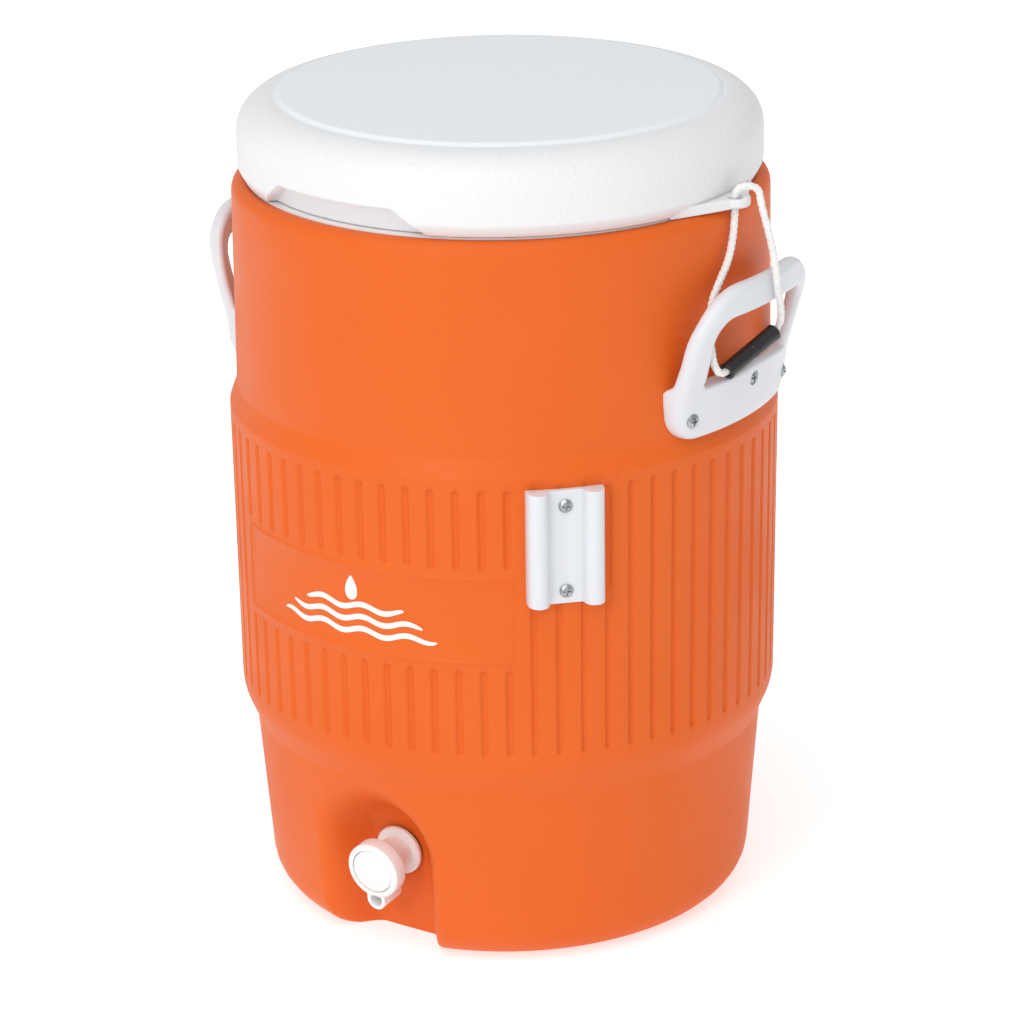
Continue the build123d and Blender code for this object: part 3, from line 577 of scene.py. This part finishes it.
# %% Profile of the body
WALL = 3.0
RIM_SEAT_R, RIM_SEAT_Z = 150.2, 446.5
BODY_CORNERS = (
    (114.0, 0.0),
    (146.5, 0.0),
    (155.5, 113.5),
    (163.4, 132.0),
    (164.9, 312.0),
    (160.3, 324.0),
    (159.3, 449.5),
    (RIM_SEAT_R, 449.5),
)
BODY_RADII = (24.0, 10.0, 30.0, 5.0, 8.0, 7.5)
body_curve = rounded(BODY_CORNERS, BODY_RADII, steps=7)


def body_radius(height):
    """Radius of the plain body at a height."""
    return np.interp(height, body_curve[:-1, 1], body_curve[:-1, 0])


# %% [markdown]
# The niche is a doorway that widens outwards: at its back wall, which leans out by six degrees, it
# is narrow, and at the front it is wide, and its top is an arch. Seen along one direction from the
# axis, the question is only at what distance the doorway begins. That distance is found for all
# points at once by halving an interval thirty times.

# %% Niche
LEAN = math.tan(math.radians(6.0))
NICHE_BACK, NICHE_FRONT = 113.6, 168.0
NICHE_BACK_HALF, NICHE_FRONT_HALF = 21.0, 54.0
NICHE_SPRING = 62.0
FAR_OUT = 260.0


def niche_radius(azimuth, height):
    """Distance from the axis at which the spigot's niche begins, or far out where it doesn't."""
    a = np.radians(azimuth)
    back = NICHE_BACK + height * LEAN
    rise = np.maximum(height - NICHE_SPRING, 0)

    def room(r):
        share = (r * np.cos(a) - back) / (NICHE_FRONT - back)
        half = NICHE_BACK_HALF + (NICHE_FRONT_HALF - NICHE_BACK_HALF) * share
        return half - np.hypot(r * np.sin(a), rise)

    low, high = np.full_like(a, 60.0), np.full_like(a, 240.0)
    never = (room(high) < 0) | (np.cos(a) < 0.5)
    for _ in range(30):
        half_way = (low + high) / 2
        inside = room(half_way) > 0
        high = np.where(inside, half_way, high)
        low = np.where(inside, low, half_way)
    wall = back / np.maximum(np.cos(a), 0.5)
    begins = -soft_min(-wall, -high, 8.0)
    return np.where(never, FAR_OUT, begins)


# %% [markdown]
# Each groove is an upright slot with round ends, so its depth depends on the distance from the
# slot's middle line. The label's frame is a ridge that depends on the distance from a rectangle.

# %% Grooves and the label's frame
GROOVES = 70
PITCH = 360.0 / GROOVES
GROOVE_HALF = 1.9
GROOVE_DEPTH = 1.7
GROOVE_ENDS = (142.0, 306.0)
PANEL_HALF_ANGLE = 34.0
PANEL_ENDS = (201.0, 252.5)
PANEL_GAP = 5.5
BEAD_HALF, BEAD_PROUD = 1.3, 0.7


def stadium(across, height, low, high):
    """Distance from the middle line of an upright slot with round ends."""
    beyond = np.maximum(low + GROOVE_HALF - height, height - high + GROOVE_HALF)
    return np.hypot(across, np.maximum(beyond, 0))


def groove_depth(azimuth, height):
    """How far the ribs' grooves are pressed in. Over the label they stop short of its frame."""
    across = np.radians((azimuth % PITCH) - PITCH / 2) * body_radius(height)
    turned_by = (azimuth + 180) % 360 - 180
    by_label = np.abs(turned_by) < PANEL_HALF_ANGLE + 1
    low, high = GROOVE_ENDS
    under = stadium(across, height, low, PANEL_ENDS[0] - PANEL_GAP)
    over = stadium(across, height, PANEL_ENDS[1] + PANEL_GAP, high)
    whole = stadium(across, height, low, high)
    distance = np.where(by_label, np.minimum(under, over), whole)
    return GROOVE_DEPTH * (1 - smooth_step(distance, 0.55 * GROOVE_HALF, 1.25 * GROOVE_HALF))


def bead_height(azimuth, height):
    """The raised frame: a soft ridge along the outline of the label's rectangle."""
    turned_by = (azimuth + 180) % 360 - 180
    across = (np.abs(turned_by) - PANEL_HALF_ANGLE) * math.radians(1) * 165.0
    middle_z, half_z = sum(PANEL_ENDS) / 2, (PANEL_ENDS[1] - PANEL_ENDS[0]) / 2
    upward = np.abs(height - middle_z) - half_z
    outside = np.hypot(np.maximum(across, 0), np.maximum(upward, 0))
    distance = np.abs(outside + np.minimum(np.maximum(across, upward), 0))
    return BEAD_PROUD * (1 - smooth_step(distance, 0.2, BEAD_HALF))


# %% [markdown]
# Rows lie closer together where a groove ends or the frame crosses, and wide apart on plain
# stretches. The inside is a second wall behind the first, so that the shell has a thickness.

# %% Rows and columns of the skin
groove_columns = np.array([-2.5714, -1.2, -0.85, -0.5, -0.17, 0.17, 0.5, 0.85, 1.2])
azimuths = (PITCH * (np.arange(GROOVES)[:, None] + 0.5) + groove_columns).ravel()
end_rows = np.array([-0.3, 0.3, 0.9, 1.7, 2.6])
bead_rows = np.array([-1.4, -0.7, -0.25, 0.25, 0.7, 1.4])
levels = np.concatenate(
    [
        np.arange(26.0, 113.0, 3.6),
        GROOVE_ENDS[0] + end_rows,
        PANEL_ENDS[0] - PANEL_GAP - end_rows,
        PANEL_ENDS[1] + PANEL_GAP + end_rows,
        GROOVE_ENDS[1] - end_rows,
        PANEL_ENDS[0] + bead_rows,
        PANEL_ENDS[1] + bead_rows,
        [165.0, 218.0, 236.0, 280.0, 345.0, 375.0, 405.0, 430.0],
    ]
)
outer_rows = with_levels(body_curve, levels)
under_rows = np.array([(0.0, 3.0), (60.0, 3.0), (109.6, 3.0), (110.4, 2.8)])
seat_rows = np.array(
    [(RIM_SEAT_R, RIM_SEAT_Z), (RIM_SEAT_R - WALL, RIM_SEAT_Z), (RIM_SEAT_R - WALL, RIM_SEAT_Z - WALL)]
)
upper_inner_levels = [443.5, 400.0, 330.0, 322.0, 200.0, 140.0, 128.0]
inner_levels = np.concatenate([upper_inner_levels, np.arange(118.0, 8.0, -7.0)])
skin_rows = np.concatenate([under_rows, outer_rows, seat_rows])


column, row_r = np.meshgrid(azimuths, skin_rows[:, 0])
row_z = np.meshgrid(azimuths, skin_rows[:, 1])[1]
dressed = row_r - groove_depth(column, row_z) + bead_height(column, row_z)
outside_r = np.maximum(soft_min(dressed, niche_radius(column, row_z), 13.0), 0)
outside_r = np.where(row_r < 100, row_r, outside_r)
outside = polar(column, outside_r, row_z)
column, inner_z = np.meshgrid(azimuths, inner_levels)
inner_r = soft_min(body_radius(inner_z), niche_radius(column, inner_z), 13.0) - WALL * 1.15
inside = polar(column, inner_r, inner_z)
floor_rows = polar(azimuths[None], np.array([[60.0], [0.0]]), 2 * WALL)
skin = surface("body_skin", np.concatenate([outside, inside, floor_rows]), around=True, closed=False)
skin.data.materials.append(ORANGE)
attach(skin, "root")
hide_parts("outer_shell")

# %% [markdown]
# ## The lid
# The lid is turned too: a flat seat with a small step round it, a broad rounded shoulder, and a
# straight side with a pebbled grain. A finger recess is cut into the front of its lower edge. The
# recess has slanting ends, so the columns there lean with them: each column keeps its share of
# the width at every height, and both ends stay straight and clean.

# %% Profile of the lid
LID_LOW_Z, LID_LOW_R = 451.1, 151.4
LID_R, LID_SHOULDER_Z, LID_TOP_Z = 155.2, 477.7, 497.8
DISC_R, DISC_Z = 133.0, 499.7
RECESS_AZIMUTH = -6.0
RECESS_R = 145.5
RECESS_LOW_HALF, RECESS_TOP_HALF, RECESS_TOP_Z = 60.9, 43.7, 464.5

quarter = np.radians(np.linspace(0, 90, 17))
shoulder = np.stack(
    [
        DISC_R + (LID_R - DISC_R) * np.cos(quarter),
        LID_SHOULDER_Z + (LID_TOP_Z - LID_SHOULDER_Z) * np.sin(quarter),
    ],
    -1,
)
side_rows = rounded(
    [
        (LID_LOW_R - WALL, LID_LOW_Z),
        (LID_LOW_R, LID_LOW_Z),
        (LID_R, LID_LOW_Z + 7),
        (LID_R, LID_SHOULDER_Z),
    ],
    [1.2, 5.0],
)
recess_top_rows = RECESS_TOP_Z + np.array([-0.6, 0, 0.6, 1.2, 2.4])
side_levels = np.concatenate([np.arange(452.5, RECESS_TOP_Z, 1.5), recess_top_rows, [471.0]])
side_rows = with_levels(side_rows, side_levels)
disc_rows = rounded(
    [(DISC_R - 0.1, LID_TOP_Z), (DISC_R - 1.2, LID_TOP_Z), (DISC_R - 4.0, DISC_Z), (60.0, DISC_Z)],
    [1.0, 2.6],
    steps=5,
)
inner_lid_rows = np.array(
    [
        (LID_R - WALL - 2, 454.0),
        (LID_R - WALL, 460.0),
        (LID_R - WALL, 477.0),
        (150.0, 486.0),
        (141.0, 492.5),
        (132.0, 494.8),
        (60.0, 494.8),
        (0.0, 494.8),
    ]
)
outer_lid_rows = np.concatenate([side_rows, shoulder, disc_rows, [(20.0, DISC_Z), (0.0, DISC_Z)]])
lid_rows = np.concatenate([inner_lid_rows[::-1], outer_lid_rows])


def recess_edge(height):
    """Half angle of the finger recess at a height, in degrees."""
    share = np.clip((height - LID_LOW_Z) / (RECESS_TOP_Z - LID_LOW_Z), -0.3, 1.2)
    half = RECESS_LOW_HALF + (RECESS_TOP_HALF - RECESS_LOW_HALF) * share
    return np.degrees(np.arcsin(half / LID_R))


EDGE_STEPS = np.array([-1.6, -0.5, -0.22, 0.0, 0.22, 0.5, 1.6])
base_edge = float(recess_edge(LID_LOW_Z))
half_turn = np.unique(
    np.concatenate(
        [
            np.linspace(0, base_edge - 2.5, 24),
            base_edge + EDGE_STEPS,
            np.linspace(base_edge + 3.5, 180, 110),
        ]
    )
)
lid_columns = np.concatenate([-half_turn[1:-1][::-1], half_turn])
u, lid_r = np.meshgrid(lid_columns, lid_rows[:, 0])
lid_z = np.meshgrid(lid_columns, lid_rows[:, 1])[1]
LEAN_SPREAD = 60.0
rise_to_edge = np.abs(u) / base_edge
fall_from_edge = np.clip((LEAN_SPREAD - np.abs(u)) / (LEAN_SPREAD - base_edge), 0, 1)
tent = np.where(np.abs(u) < base_edge, rise_to_edge, fall_from_edge)
leaned = u + np.sign(u) * (recess_edge(lid_z) - base_edge) * tent * (lid_r > 140)
inward = 1 - smooth_step(np.abs(leaned) - recess_edge(lid_z), -0.24, 0.24)
below = 1 - smooth_step(lid_z, RECESS_TOP_Z - 0.1, RECESS_TOP_Z + 1.3)
is_outer = (np.arange(len(lid_rows)) >= len(inner_lid_rows))[:, None]
limit = np.where(is_outer, RECESS_R, RECESS_R - WALL)
cut = np.where(is_outer, below, smooth_step(-lid_z, -470, -462)) * inward
lid_r = lid_r + (np.minimum(lid_r, limit) - lid_r) * cut
lid_skin = surface("lid_skin", polar(leaned + RECESS_AZIMUTH, lid_r, lid_z), around=True, closed=False)
lid_skin.data.materials.append(LID_SIDE)
lid_skin.data.materials.append(LID_TOP)
centres = np.zeros(len(lid_skin.data.polygons) * 3)
lid_skin.data.polygons.foreach_get("center", centres)
centres = centres.reshape(-1, 3)
on_seat = (np.hypot(centres[:, 0], centres[:, 1]) < DISC_R * MM) & (centres[:, 2] > (LID_TOP_Z - 0.5) * MM)
lid_skin.data.polygons.foreach_set("material_index", on_seat.astype(np.int32))
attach(lid_skin, "lid")

# %% [markdown]
# The rope is tied through an eye: a flat tongue that stands out from the lid's lower edge, broad
# where it joins the side and round at its tip. In the plane it is a ring between two outlines, the
# tongue's own and its hole's, and going round its thickness makes a third closed curve.

# %% Eye of the lid
EYE_AZIMUTH, EYE_TIP_AT, EYE_TIP_R = 89.5, 159.0, 10.0
EYE_FOOT_R, EYE_FOOT_AT, EYE_FOOT_HALF = 150.6, 144.3, 45.6
EYE_LOW, EYE_THICK = 450.0, 6.0
EYE_HOLE = np.array([162.0, -4.5])
EYE_HOLE_R = 3.7
EDGE = 1.6


def reach(outline, centre, angles):
    """Distance from a centre to a closed outline in each direction, for an outline that every
    ray from the centre crosses once."""
    about = outline - centre
    found = np.unwrap(np.arctan2(about[:, 1], about[:, 0]))
    if found[-1] < found[0]:
        found, about = found[::-1], about[::-1]
    r = np.hypot(about[:, 0], about[:, 1])
    return np.interp((angles - found[0]) % (2 * math.pi) + found[0], found, r, period=2 * math.pi)


def fine(outline, step):
    """The closed outline with points at most a step apart."""
    ring = np.concatenate([outline, outline[:1]])
    s = along(ring)
    even = np.linspace(0, s[-1], int(s[-1] / step), endpoint=False)
    every = np.unique(np.concatenate([even, s[:-1]]))
    return np.stack([np.interp(every, s, ring[:, k]) for k in (0, 1)], -1)


tip = np.radians(np.linspace(-67, 67, 25))
foot = np.radians(np.linspace(17.3, -17.3, 15))
eye_outline = np.concatenate(
    [
        [(EYE_FOOT_AT, -EYE_FOOT_HALF)],
        np.stack([EYE_TIP_AT + EYE_TIP_R * np.cos(tip), EYE_TIP_R * np.sin(tip)], -1),
        [(EYE_FOOT_AT, EYE_FOOT_HALF)],
        EYE_FOOT_R * np.stack([np.cos(foot), np.sin(foot)], -1),
    ]
)
eye_outline = fine(eye_outline, 0.8)
eye_angle = np.radians(EYE_AZIMUTH - 90)
turn_eye = np.array(
    [
        [math.cos(eye_angle), -math.sin(eye_angle)],
        [math.sin(eye_angle), math.cos(eye_angle)],
    ]
)
eye_outline = eye_outline @ turn_eye.T
ring_angles = np.sort(np.arctan2(*(eye_outline - EYE_HOLE).T[::-1]))
outer_reach = reach(eye_outline, EYE_HOLE, ring_angles)
edge_turn = np.radians(np.linspace(0, 90, 5))
section = []
for from_outer, low in ((True, False), (False, False), (False, True), (True, True)):
    t = edge_turn if from_outer != low else edge_turn[::-1]
    height = EYE_LOW + EDGE * (1 - np.sin(t)) if low else EYE_LOW + EYE_THICK - EDGE * (1 - np.sin(t))
    inset = EDGE * (1 - np.cos(t))
    section.append(np.stack([np.full_like(t, from_outer), inset, height], -1))
section = np.concatenate(section)
distance = np.where(section[:, 0] > 0.5, outer_reach[:, None] - section[:, 1], EYE_HOLE_R + section[:, 1])
eye_xy = EYE_HOLE + distance[..., None] * np.stack([np.cos(ring_angles), np.sin(ring_angles)], -1)[:, None]
eye_points = np.concatenate([eye_xy, np.broadcast_to(section[:, 2:], eye_xy.shape[:2] + (1,))], -1)
eye = surface("lid_eye", eye_points, around=True, closed=True)
eye.data.materials.append(LID_SIDE)
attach(eye, "lid")
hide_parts("lid_shell")

# %% [markdown]
# ## The handles
# A handle is a frame: a foot screwed to the neck, two legs, and a bar that leans out so that
# fingers fit behind it. Seen from the front it lies between two outlines. Seen from the side its
# front and back faces are two curves of the height. Each ray from the middle of the opening
# crosses the frame once, and going round the frame's section there, with a round at each of its
# four corners, gives the second parameter.

# %% Handle outlines
HANDLE_CENTRE = np.array([0.0, 374.0])


def mirrored(half):
    """A closed outline from its left half, which runs from the foot's middle to the top's."""
    return fine(np.concatenate([half, (half * (-1, 1))[::-1]]), 1.6)


HANDLE_CORNERS = [(0, 322), (-61.5, 322), (-63.5, 346), (-62, 413), (0, 413)]
handle_outside = mirrored(rounded(HANDLE_CORNERS, [16, 40, 36], 10))
handle_opening = mirrored(rounded([(0, 358.5), (-46, 353.5), (-48.5, 394.5), (0, 394.5)], [4.0, 13], 8))
FRONT_FACE = rounded([(168.5, 322), (172, 350), (184.5, 396), (184.5, 413)], [60, 40])
BACK_CORNERS = [(157, 322), (157, 352), (164.5, 356), (169, 370), (174.5, 396), (174.5, 413)]
BACK_FACE = rounded(BACK_CORNERS, [1, 5, 60, 40])
HANDLE_ROUND = 5.4


def front_face(height):
    """Distance of a handle's front face from the axis."""
    return np.interp(height, FRONT_FACE[:, 1], FRONT_FACE[:, 0])


def back_face(height):
    """Distance of a handle's back face from the axis."""
    return np.interp(height, BACK_FACE[:, 1], BACK_FACE[:, 0])


def handle_points(azimuth):
    """Grid of one handle: rows go round the frame, columns round its section."""
    both = [np.arctan2(*(o - HANDLE_CENTRE).T[::-1]) for o in (handle_outside, handle_opening)]
    angles = np.unique(np.round(np.concatenate(both), 4))
    outer = reach(handle_outside, HANDLE_CENTRE, angles)[:, None]
    inner = reach(handle_opening, HANDLE_CENTRE, angles)[:, None]
    t = np.radians(np.linspace(0, 90, 7))[None]
    across = np.linspace(0, 1, 9)[None, 1:-1]
    width = outer - inner
    guess_z = HANDLE_CENTRE[1] + np.sin(angles)[:, None] * (outer + inner) / 2
    depth = front_face(guess_z) - np.maximum(back_face(guess_z), body_radius(guess_z) - 0.3)
    edge = np.minimum(HANDLE_ROUND, np.minimum(0.45 * width, 0.45 * depth))
    parts = [
        (outer - edge * (1 - np.cos(t)), edge * (1 - np.sin(t)), 1),
        (outer - edge + (inner + 2 * edge - outer) * across, 0 * across * edge, 1),
        (inner + edge * (1 - np.sin(t)), edge * (1 - np.cos(t)), 1),
        (inner + edge * (1 - np.cos(t)), edge * (1 - np.sin(t)), 0),
        (inner + edge + (outer - 2 * edge - inner) * across, 0 * across * edge, 0),
        (outer - edge * (1 - np.sin(t)), edge * (1 - np.cos(t)), 0),
    ]
    grids = []
    for away, inset, front in parts:
        x = HANDLE_CENTRE[0] + away * np.cos(angles)[:, None]
        z = HANDLE_CENTRE[1] + away * np.sin(angles)[:, None]
        face = front_face(z) - inset
        if not front:
            face = np.maximum(back_face(z) + inset, body_radius(z) - 0.3)
        grids.append(polar(azimuth + np.degrees(np.arcsin(x / face)), face, z))
    return np.concatenate(grids, 1)


# %% [markdown]
# The screws sit in shallow round pockets. A pocket's rim cuts across the grid, so it is cut with a
# Boolean modifier and a plain cylinder, which is deleted once the cut has been applied.

# %% Build both handles
SCREWS = ((-18.4, 335.0), (0.0, 347.5), (18.4, 335.0))
SCREW_SEAT_R = 169.5
POCKET_R = 4.5


def cut_pockets(piece, azimuth):
    """Takes a round pocket out of the foot at each screw."""
    for turn_by, z in SCREWS:
        start = polar(azimuth + turn_by, SCREW_SEAT_R, z)
        way = polar(azimuth + turn_by, 1.0, 0.0)
        profile = np.array([(0.0, 0.0), (POCKET_R, 0.0), (POCKET_R + 0.4, 8.0), (0.0, 8.0)])
        cutter = turned("pocket_cutter", profile, start, way, sides=32)
        cut = piece.modifiers.new("pocket", "BOOLEAN")
        cut.operation = "DIFFERENCE"
        cut.object = cutter
        cut.solver = "EXACT"
        bpy.context.view_layer.update()
        shaped = piece.evaluated_get(bpy.context.evaluated_depsgraph_get())
        result = bpy.data.meshes.new_from_object(shaped)
        piece.modifiers.clear()
        spent = piece.data
        piece.data = result
        bpy.data.meshes.remove(spent)
        bpy.data.objects.remove(cutter)


for side, azimuth in (("left", -89.3), ("right", 90.7)):
    grip = surface(f"grip_{side}", handle_points(azimuth), around=True, closed=True)
    cut_pockets(grip, azimuth)
    grip.data.materials.clear()
    grip.data.materials.append(WHITE)
    grip.data.shade_smooth()
    sharpen(grip, 40)
    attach(grip, "root")
    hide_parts(f"handle_{side}")

# %% [markdown]
# ## Small mouldings
# The spigot and the cup bracket keep their CAD form, but a mould leaves a round on every edge. The
# CAD mesh is copied and merged, and a bevel goes along each edge that turns by more than forty
# degrees.

# %% Round the edges of the small mouldings
BODY_OF = {"spigot_body": "root", "spigot_button": "button", "cup_bracket": "root"}


def softened(node_name, width, finish):
    """A merged copy of a CAD node with its sharp edges rounded by a width in millimetres."""
    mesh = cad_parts[node_name].data.copy()
    mesh.name = f"{node_name}_soft"
    work = bmesh.new()
    work.from_mesh(mesh)
    bmesh.ops.remove_doubles(work, verts=work.verts, dist=2e-6)
    nearly_flat = math.radians(1.0)
    bmesh.ops.dissolve_limit(work, angle_limit=nearly_flat, verts=work.verts, edges=work.edges)
    work.to_mesh(mesh)
    work.free()
    made = bpy.data.objects.new(f"{node_name}_soft", mesh)
    scene.collection.objects.link(made)
    bevel = made.modifiers.new("round", "BEVEL")
    bevel.width = width * MM
    bevel.segments = 3
    bevel.limit_method = "ANGLE"
    bevel.angle_limit = math.radians(40)
    bpy.context.view_layer.update()
    shaped = made.evaluated_get(bpy.context.evaluated_depsgraph_get())
    result = bpy.data.meshes.new_from_object(shaped)
    made.modifiers.clear()
    made.data = result
    bpy.data.meshes.remove(mesh)
    result.materials.clear()
    result.materials.append(finish)
    result.shade_smooth()
    sharpen(made, 30)
    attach(made, BODY_OF[node_name])
    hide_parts(node_name)
    return made


softened("spigot_body", 0.6, SPIGOT)
softened("spigot_button", 0.5, SPIGOT)
softened("cup_bracket", 1.2, WHITE)

# %% [markdown]
# ## The label
# Inside the raised frame stands a plain sign for water: a drop over three wavy bars, printed in
# white. Each mark is a thin strip laid on the body, with an edge line on either side of a spine.

# %% Printed marks
INK_PROUD, INK_SUNK = 0.22, 0.3
INK = plastic("white_print", (0.85, 0.85, 0.85), (0.80, 0.80, 0.80), 0.45, 1.3, 0.05, 50, 0.2)


def strip(name, azimuth_a, height_a, azimuth_b, height_b):
    """A closed thin strip on the body between two edge lines, whose ends run together."""
    corners = []
    for azimuth, height, proud in (
        (azimuth_a, height_a, INK_PROUD),
        (azimuth_b, height_b, INK_PROUD),
        (azimuth_b, height_b, -INK_SUNK),
        (azimuth_a, height_a, -INK_SUNK),
    ):
        corners.append(polar(azimuth, body_radius(height) + proud, height))
    grid = np.stack(corners, 1)
    ends = grid[[0, -1]].mean(axis=1, keepdims=True).repeat(4, axis=1)
    grid = np.concatenate([ends[:1], grid, ends[1:]])
    mark = surface(name, grid, around=True, closed=False)
    mark.data.materials.append(INK)
    sharpen(mark, 30)
    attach(mark, "root")


for number, (middle_z, half_width) in enumerate(((213.0, 19.0), (220.5, 16.0), (228.0, 12.0))):
    spread = np.linspace(-half_width, half_width, 97)
    wave = middle_z + 1.6 * np.sin(np.radians(spread * 36.0))
    thick = 1.7 * np.sqrt(np.maximum(1 - (np.abs(spread) / half_width) ** 8, 0.0004))
    strip(f"label_wave_{number + 1}", spread, wave + thick, spread, wave - thick)
rise = np.linspace(0.004, 0.996, 48)
drop_half = 3.6 * np.sqrt(rise) * (1 - rise) ** 0.9
drop_z = 231.5 + 15.0 * rise
strip("label_drop", -drop_half, drop_z, drop_half, drop_z)

# %% [markdown]
# ## The floor and the light
# A white floor and a broad, low-contrast key from the front, as for a catalogue. The floor
# glows a little, so that it stays white beside the jug, and the even surround fills the shadows.

# %% Floor
floor_mesh = bpy.data.meshes.new("floor")
FLOOR_HALF = 12.0
floor_corners = [
    (across * FLOOR_HALF, away * FLOOR_HALF, 0)
    for across, away in ((-1, -1), (1, -1), (1, 1), (-1, 1))
]
floor_mesh.from_pydata(floor_corners, [], [(0, 1, 2, 3)])
floor_piece = bpy.data.objects.new("floor", floor_mesh)
scene.collection.objects.link(floor_piece)
floor_paint = bpy.data.materials.new("pale_floor")
floor_paint.use_nodes = True
floor_shader = floor_paint.node_tree.nodes["Principled BSDF"]
floor_shader.inputs["Base Color"].default_value = (0.6, 0.6, 0.6, 1)
floor_shader.inputs["Roughness"].default_value = 0.9
floor_shader.inputs["Emission Color"].default_value = (1, 1, 1, 1)
floor_shader.inputs["Emission Strength"].default_value = 0.6
floor_mesh.materials.append(floor_paint)

# %% [markdown]
# A broad sun gives the gentle shading round the jug, an even white surround fills the shadows, and
# a small square light in front draws one soft highlight down the neck.

# %% Lights
world = bpy.data.worlds.new("studio")
scene.world = world
world.use_nodes = True
world.node_tree.nodes["Background"].inputs[0].default_value = (1, 1, 1, 1)
world.node_tree.nodes["Background"].inputs[1].default_value = 0.58
scene.view_settings.view_transform = "Standard"


def soft_light(name, azimuth, distance, height, size, watts):
    """A square area light that looks at the middle of the jug, from a place in metres."""
    light = bpy.data.lights.new(name, "AREA")
    light.size = size
    light.energy = watts
    lamp = bpy.data.objects.new(name, light)
    lamp.location = Vector(polar(azimuth, distance, height))
    aim = Vector((0, 0, 0.25)) - lamp.location
    lamp.rotation_euler = aim.to_track_quat("-Z", "Y").to_euler()
    scene.collection.objects.link(lamp)


KEY_AZIMUTH, KEY_HEIGHT = 12.0, math.radians(58)
sun = bpy.data.lights.new("sky_key", "SUN")
sun.energy = 1.25
sun.angle = math.radians(60)
sun_lamp = bpy.data.objects.new("sky_key", sun)
sun_way = Vector(polar(KEY_AZIMUTH, math.cos(KEY_HEIGHT), math.sin(KEY_HEIGHT)))
sun_lamp.rotation_euler = sun_way.to_track_quat("Z", "Y").to_euler()
scene.collection.objects.link(sun_lamp)
soft_light("strip", 4.0, 2.6, 1.3, 0.6, 12.0)
